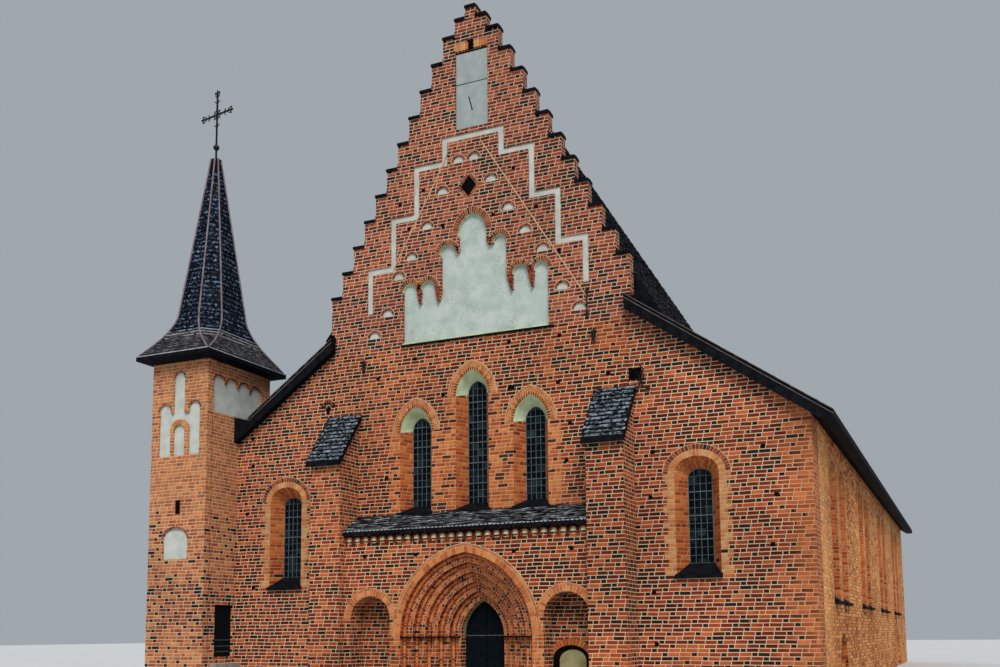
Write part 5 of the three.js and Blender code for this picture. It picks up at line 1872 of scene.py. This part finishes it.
@dataclass
class StairTower(Part):
    """Plaster fields, rings and openings of the stair tower."""

    recess: float = 0.07

    LEFT = Arch(-9.55, 0.22, 6.91, 8.29, 8.51)
    RIGHT = Arch(-8.44, 0.205, 6.92, 8.31, 8.515)
    TALL = Arch(-9.03, 0.21, 8.2, 9.25, 9.45)
    RING = Arch(-8.995, 0.375, 7.5, 7.64, 8.01)
    INNER = Arch(-9.01, 0.21, 6.915, 7.67, 7.89)
    ROUND = Arch(-9.05, 0.455, 3.83, 4.46, 4.75)

    def shape(self) -> None:
        """Make the tower's pieces."""
        self._field()
        self._side_panel()
        self._small_parts()

    def _field(self) -> None:
        """The branched plaster field, the inner lancet and the round panel."""
        plaster, inner, bricks, beds = self.pieces(
            tower_plaster_field=COOL_PLASTER, tower_inner_ring=PALE_RING, tower_rings=DARK_RING,
            tower_ring_joints=JOINT)
        edge = 0.002
        back, front = -self.recess - SEAT, SKIN - self.recess
        for arch in (self.LEFT, self.RIGHT, self.TALL, self.INNER, self.ROUND):
            plaster.slab(arch.outline(edge, 6), TOWER_FRONT, front, back)
        ring, low, high = self.RING, self.RING.bottom, 8.21
        left, right = self.LEFT.x + self.LEFT.half - 0.01, self.RIGHT.x - self.RIGHT.half + 0.01
        plaster.slab(
            [(left, high), (left, low), (ring.x - ring.half, low), *reversed(ring.outline(-edge, 8)[2:]),
            (ring.x + ring.half, low), (right, low), (right, high)], TOWER_FRONT, front - 0.001, back)
        inner.ring(ring, TOWER_FRONT, -0.155, -0.008, 0.004, 0.075, 0.012)
        # Dark header rings around the lobes, partly brick and partly painted shadow of the recess edges.
        for arch in (self.LEFT, self.RIGHT, self.TALL, self.ROUND):
            bricks.ring(arch, TOWER_FRONT, 0.0, 0.05, 0.005, 0.075, 0.012)
            beds.bed(arch, TOWER_FRONT, 0.056, 0.002)

    def _side_panel(self) -> None:
        """The lobed plaster panel on the south face."""
        plaster, rings = self.pieces(tower_side_plaster=COOL_PLASTER, tower_side_rings=DARK_RING)
        west, lobe, count, sill, spring, rise, corbel = -1.2, 0.585, 4, 8.215, 9.12, 0.215, 0.06
        half = (lobe - corbel) / 2
        points = [(west + corbel / 2, sill), (west + lobe * count - corbel / 2, sill)]
        for k in reversed(range(count)):
            centre = west + lobe * (k + 0.5)
            points += [(centre + half * math.cos(a), spring + rise * math.sin(a)) for a in turns(16)[:9]]
            arch = Arch(centre, half, sill, spring, spring + rise)
            # Dark header rings around the lobes, partly brick and partly painted shadow of the recess
            # edges.
            rings.ring(arch, TOWER_SIDE, 0.0, 0.055, 0.005, 0.075, 0.012)
        plaster.slab(points, TOWER_SIDE, SKIN - self.recess, -self.recess - SEAT)

    def _small_parts(self) -> None:
        """Slit painted black for the shade inside it, corner ledge and the vertical joint of the side face.
        """
        [dark] = self.pieces(slot=Slot.IRON, tower_slit=PAINTED_SHADOW)
        reveal, ledge = self.pieces(tower_slit_reveal=DARK_RING, tower_ledge=PALE_RING)
        # Painted shadow: the slit is a black plate.
        dark.plate((-9.045, 5.16), (-8.885, 5.58), TOWER_FRONT, 0.004)
        reveal.plate((-1.208, 1.0), (-1.192, 8.16), TOWER_SIDE)
        reveal.plate((-9.075, 5.16), (-9.04, 5.58), TOWER_FRONT, 0.006)
        ledge.block((-8.07, -1.455, 5.93), (-7.95, -1.43, 5.99))
        ledge.block((-7.95, -1.455, 5.93), (-7.925, -1.2, 5.99))


@dataclass
class Spire(Part):
    """Shingled eight-sided spire with hip strips and a forged cross."""

    axis: Point2 = (-9.12, 0.06)
    eave_z: float = 9.95
    flare_top: float = 11.41
    top: float = 16.76
    top_half: Point2 = (0.128, 0.125)
    taper: Point2 = (0.135, 0.172)
    cut_share: float = 0.56
    flare: float = 1.65
    cut_power: float = 1.9
    edges: tuple[float, float, float, float] = (-7.63, -10.365, -1.85, 1.95)
    skirt_top: float = 10.7
    width: float = 0.13
    arm_z: float = 18.29
    arm: float = 0.68
    cross_top: float = 19.08
    turn: float = math.radians(-8.9)

    def corners(self, z: float, grow: float = 0.0) -> list[Vector]:
        """The eight corners of the plan at a height, grown outwards.

        Args:
            z: the height.
            grow: distance outside the spire's own faces.

        Returns:
            The corners, in order around the axis.
        """
        low = max(0.0, min(1.0, (self.flare_top - z) / (self.flare_top - self.eave_z)))
        reaches = []
        for number, edge in enumerate(self.edges):
            k = number // 2
            straight, last = (
                self.top_half[k] + (self.top - level) * self.taper[k] for level in (z, self.eave_z))
            reaches.append(straight + (abs(edge - self.axis[k]) - last) * low ** self.flare + grow)
        south, north, west, east = reaches
        half = self.top_half[0] + (self.top - z) * self.taper[0]
        cut = max(0.005, self.cut_share * half * (1 - low ** self.cut_power))
        plan = [
            (south - cut, -west), (south, cut - west), (south, east - cut), (south - cut, east),
            (cut - north, east), (-north, east - cut), (-north, cut - west), (cut - north, -west)]
        return [Vector((self.axis[0] + u, self.axis[1] + v, z)) for u, v in plan]

    def shape(self) -> None:
        """Make the spire's pieces."""
        self._shingles()
        self._hips()
        self._light_rows()
        self._cross()

    def _levels(self) -> list[float]:
        """Heights of the shingle rows, with closer rows on the flat flare."""
        levels = [self.eave_z]
        while levels[-1] < self.top - 0.1:
            z = levels[-1]
            levels.append(z + (0.075 if z < 10.5 else 0.105 if z < self.flare_top else 0.15))
        return levels

    def _shingles(self) -> None:
        """Lay shingles row by row on the eight faces, with the lowest row inside the eave."""
        shingles, skirt = self.pieces(spire_shingles=SPIRE_SHINGLE, spire_skirt_shingles=SKIRT_SHINGLE)
        dice = random.Random(7)
        levels = self._levels()
        for row, (low, high) in enumerate(zip(levels, levels[1:])):
            below = self.corners(low, 0.0 if row else -0.026)
            above = self.corners(min(high + 0.03, self.top))
            for k in range(8):
                face = (below[k], below[(k + 1) % 8], above[(k + 1) % 8], above[k])
                self._row(skirt if low < self.skirt_top else shingles, face, row % 2, dice)

    def _row(self, shingles: Mesher, face: tuple[Vector, ...], odd: int, dice: random.Random) -> None:
        """Lay one row of shingles on one face.

        Args:
            shingles: collects them.
            face: the row's two lower and two upper corners.
            odd: 1 where the row is moved by half a shingle.
            dice: gives their unevenness.
        """
        a, b, c, d = face
        width = (b - a).length
        if width < 0.05:
            return
        normal = (b - a).cross(d - a).normalized()
        count = max(1, round(width / self.width))
        shift = 0.5 * odd / count
        marks = [0.0, *((i + 1) / count - shift for i in range(count)), 1.0]
        gap = 0.004 / width
        for start, end in zip(marks, marks[1:]):
            if (end - start) * width < 0.03:
                continue
            lift = 0.014 + 0.012 * dice.random()
            corners = [
                a.lerp(b, start + gap), a.lerp(b, end - gap), d.lerp(c, end - gap),
                d.lerp(c, start + gap)]
            outer = [p + normal * (lift if i < 2 else 0.004) for i, p in enumerate(corners)]
            shingles.loft([[p - normal * 0.006 for p in corners], outer])

    def _hips(self) -> None:
        """Rose-grey strips over the eight hips."""
        [hips] = self.pieces(spire_hip_strips=HIP_STRIP)
        heights = [self.eave_z + (self.flare_top - self.eave_z) * i / 12 for i in range(12)]
        heights += [self.flare_top + (self.top - self.flare_top) * i / 4 for i in range(5)]
        rings = [self.corners(z, min(0.018, (z - self.eave_z) * 0.25 - 0.032)) for z in heights]
        for k in range(8):
            hips.path([ring[k] for ring in rings], 0.026)

    def _light_rows(self) -> None:
        """Three pale courses on the flare, the dark top and the thin line on the eave."""
        rows, top, line = self.pieces(
            spire_light_courses=PALE_COURSE_AND_HIGHLIGHT, spire_top_sheet=TARRED_BOARD, spire_eave_line=PALE_COURSE_AND_HIGHLIGHT)
        for z in (10.56, 10.67, 10.78):
            rows.loft([self.corners(z, 0.022), self.corners(z + 0.02, 0.025), self.corners(z + 0.03, 0.01)])
        top.loft([self.corners(self.top - 0.42, 0.02), self.corners(self.top, 0.02)])
        south, north, west, east = self.edges
        wide = 0.015
        for low, high in (
                ((south - wide, west), (south, east)), ((north, west), (south, west + wide)),
                ((north, west), (north + wide, east)), ((north, east - wide), (south, east))):
            line.block((*low, self.eave_z - 0.004), (*high, self.eave_z + 0.03))

    def _at(self, u: float, v: float) -> Point3:
        """Point in the plane of the cross, u along its arms and v over them."""
        return (
            self.axis[0] + u * math.cos(self.turn), self.axis[1] + u * math.sin(self.turn),
            self.arm_z + v)

    def _round(self, iron: Mesher, u: float, v: float, radius: float) -> None:
        """An open ring of thin bar about a point of the cross."""
        angles = [*turns(16), 2 * math.pi]
        iron.path([self._at(u + radius * math.cos(a), v + radius * math.sin(a)) for a in angles], 0.014)

    def _cross(self) -> None:
        """Trefoil ends, ring and small leaves of the forged cross, which is turned on its foot."""
        [iron] = self.pieces(spire_cross_leaves=IRON)
        for u, v, way in (
                (-self.arm, 0.0, math.pi), (self.arm, 0.0, 0.0),
                (0.0, self.cross_top - self.arm_z, math.pi / 2)):
            self._round(iron, u * 0.86, v * 0.86, 0.085)
            for lean in (-1.2, 0.0, 1.2):
                angle = way + lean
                iron.ball(self._at(u * 0.9 + 0.1 * math.cos(angle), v * 0.9 + 0.1 * math.sin(angle)), 0.032)
        self._round(iron, 0.0, 0.0, 0.15)
        for quarter in turns(4):
            angle = math.pi / 4 + quarter
            iron.rod(self._at(0.0, 0.0), self._at(0.2 * math.cos(angle), 0.2 * math.sin(angle)), 0.014)
        for side in (-1, 1):
            for v in (-0.42, 0.38):
                iron.rod(self._at(0.0, v), self._at(side * 0.12, v + 0.09), 0.017)
            for way in (-1, 1):
                iron.rod(self._at(side * 0.32, 0.0), self._at(side * 0.4, way * 0.11), 0.016)


@dataclass
class Doors(Part):
    """Boards, rails and ironwork of the door leaves."""

    leaf: Arch = Arch(0.08, 0.64, 0.14, 1.53, 2.50)
    boards: int = 6
    board: float = 0.1
    tower_west: float = -0.888
    tower_pitch: float = 0.1335

    def shape(self) -> None:
        """Make the doors' pieces."""
        self._portal(-1, "left_leaf")
        self._portal(1, "right_leaf")
        self._tower()

    def _portal(self, side: int, body: str) -> None:
        """Boards and the rail of one portal leaf.

        Args:
            side: 1 for the right leaf and -1 for the left.
            body: the CAD body of the leaf.
        """
        boards, rail = self.pieces(None, body, **{body + "_boards": DOOR_PAINT, body + "_rail": DOOR_RAIL})
        plane = WallPlane(0.726, Facing.WEST)
        arch = self.leaf
        for k in range(self.boards):
            near, far = 0.01 + k * self.board, 0.004 + (k + 1) * self.board
            heights = (arch.bottom, arch.bottom, arch.height(min(far, 0.62)), arch.height(near))
            corners = zip((near, far, far, near), heights)
            boards.slab([(arch.x + side * u, v) for u, v in corners], plane, 0.004, -0.004)
        rail.plate((arch.x + side * 0.012, 1.535), (arch.x + side * 0.63, 1.56), plane, 0.0055, 0.0)

    def _tower(self) -> None:
        """Boards and straps of the tower door."""
        [boards] = self.pieces(body="tower_leaf", tower_door_boards=DOOR_PAINT)
        [straps] = self.pieces(slot=Slot.IRON, body="tower_leaf", tower_door_straps=DOOR_RAIL)
        plane = WallPlane(-8.02, Facing.SOUTH)
        west, pitch = self.tower_west, self.tower_pitch
        for k in range(self.boards):
            start = west + k * pitch
            boards.plate((start, 1.0), (start + pitch - 0.007, 2.485), plane, 0.005, -0.004)
        for z in (1.12, 1.28, 1.46):
            straps.plate((west + 0.02, z), (west + self.boards * pitch - 0.06, z + 0.02), plane, 0.012, 0.0)


@dataclass
class WallMarks(Part):
    """Putlog holes and vents painted black for the shade inside them, the vents' ironwork and other marks
    on the front.
    """

    hole: Point2 = (0.055, 0.05)
    out: float = -0.03

    HOLES = (
        (PORCH_FACE, ((-2.97, 3.74), (-1.37, 3.73), (1.52, 3.71), (3.11, 3.72))),
        (FRONT, (
            (-3.0, 8.9), (-1.79, 9.35), (1.13, 9.48), (2.60, 9.48), (2.54, 8.21), (-0.89, 8.21),
            (2.86, 7.08), (2.75, 6.1), (-2.7, 6.0), (1.31, 14.40), (1.97, 13.16), (2.62, 11.84),
            (0.68, 13.17), (-1.52, 14.29), (-2.29, 13.99), (-0.90, 13.14), (-1.99, 13.22))),
        (AISLE_FRONT, (
            (5.06, 6.14), (4.98, 4.98), (7.82, 6.07), (8.10, 4.87), (7.97, 3.67), (5.01, 2.59),
            (5.05, 1.30), (-7.42, 7.53), (-7.39, 6.69), (-7.59, 5.24), (-5.2, 6.5), (-5.1, 4.6),
            (-7.3, 3.0), (-5.2, 2.9))))
    SCROLL = ((4.78, 8.42), (4.90, 8.29), (4.76, 8.11), (4.81, 7.92), (4.93, 7.80), (5.09, 7.75))

    def shape(self) -> None:
        """Make the marks."""
        [holes] = self.pieces(slot=Slot.IRON, putlog_holes=PAINTED_SHADOW)
        fans, iron = self.pieces(vent_fan=PAINTED_SHADOW, vent_anchor=IRON)
        half, up = self.hole
        # Painted shadow: the holes and vent openings are black plates.
        for plane, spots in self.HOLES:
            for x, z in spots:
                holes.plate((x - half, z - up), (x + half, z + up), plane)
        holes.plate((3.88, 8.24), (4.0, 8.35), FRONT)
        holes.plate((1.08, 8.16), (1.28, 8.27), FRONT)
        holes.slab([(-4.75, 8.02), (-4.69, 8.02), (-4.62, 8.22), (-4.82, 8.22)], AISLE_FRONT, 0.004)
        holes.plate((4.48, 8.05), (4.82, 8.37), AISLE_FRONT, 0.004)
        # The vent's fan is drawn in the painted-shadow black.
        fans.ring(Arch(-4.72, 0.12, 8.18, 8.2, 8.32), AISLE_FRONT, 0.0, 0.13, 0.006, 0.04, 0.022)
        iron.path([(u, self.out, v) for u, v in self.SCROLL], 0.02)
        iron.rod((4.92, self.out, 8.16), (4.62, self.out, 7.60), 0.018)
        iron.rod((4.84, 0.06, 8.2), (4.84, self.out, 8.2), 0.02)


def main() -> None:
    """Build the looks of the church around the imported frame."""
    logging.basicConfig(level=logging.INFO, format="%(message)s")
    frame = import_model()
    roofer = Roofer(ArrayTree())
    for part in (
            Studio(), Masonry(frame["nodes"]), Gable(), Windows(), Porch(roofer), ButtressRoofs(roofer),
            MainRoofs(roofer), StairTower(), Spire(), Doors(), WallMarks()):
        part.build()
    roofer.clear()


if __name__ == "__main__":
    main()
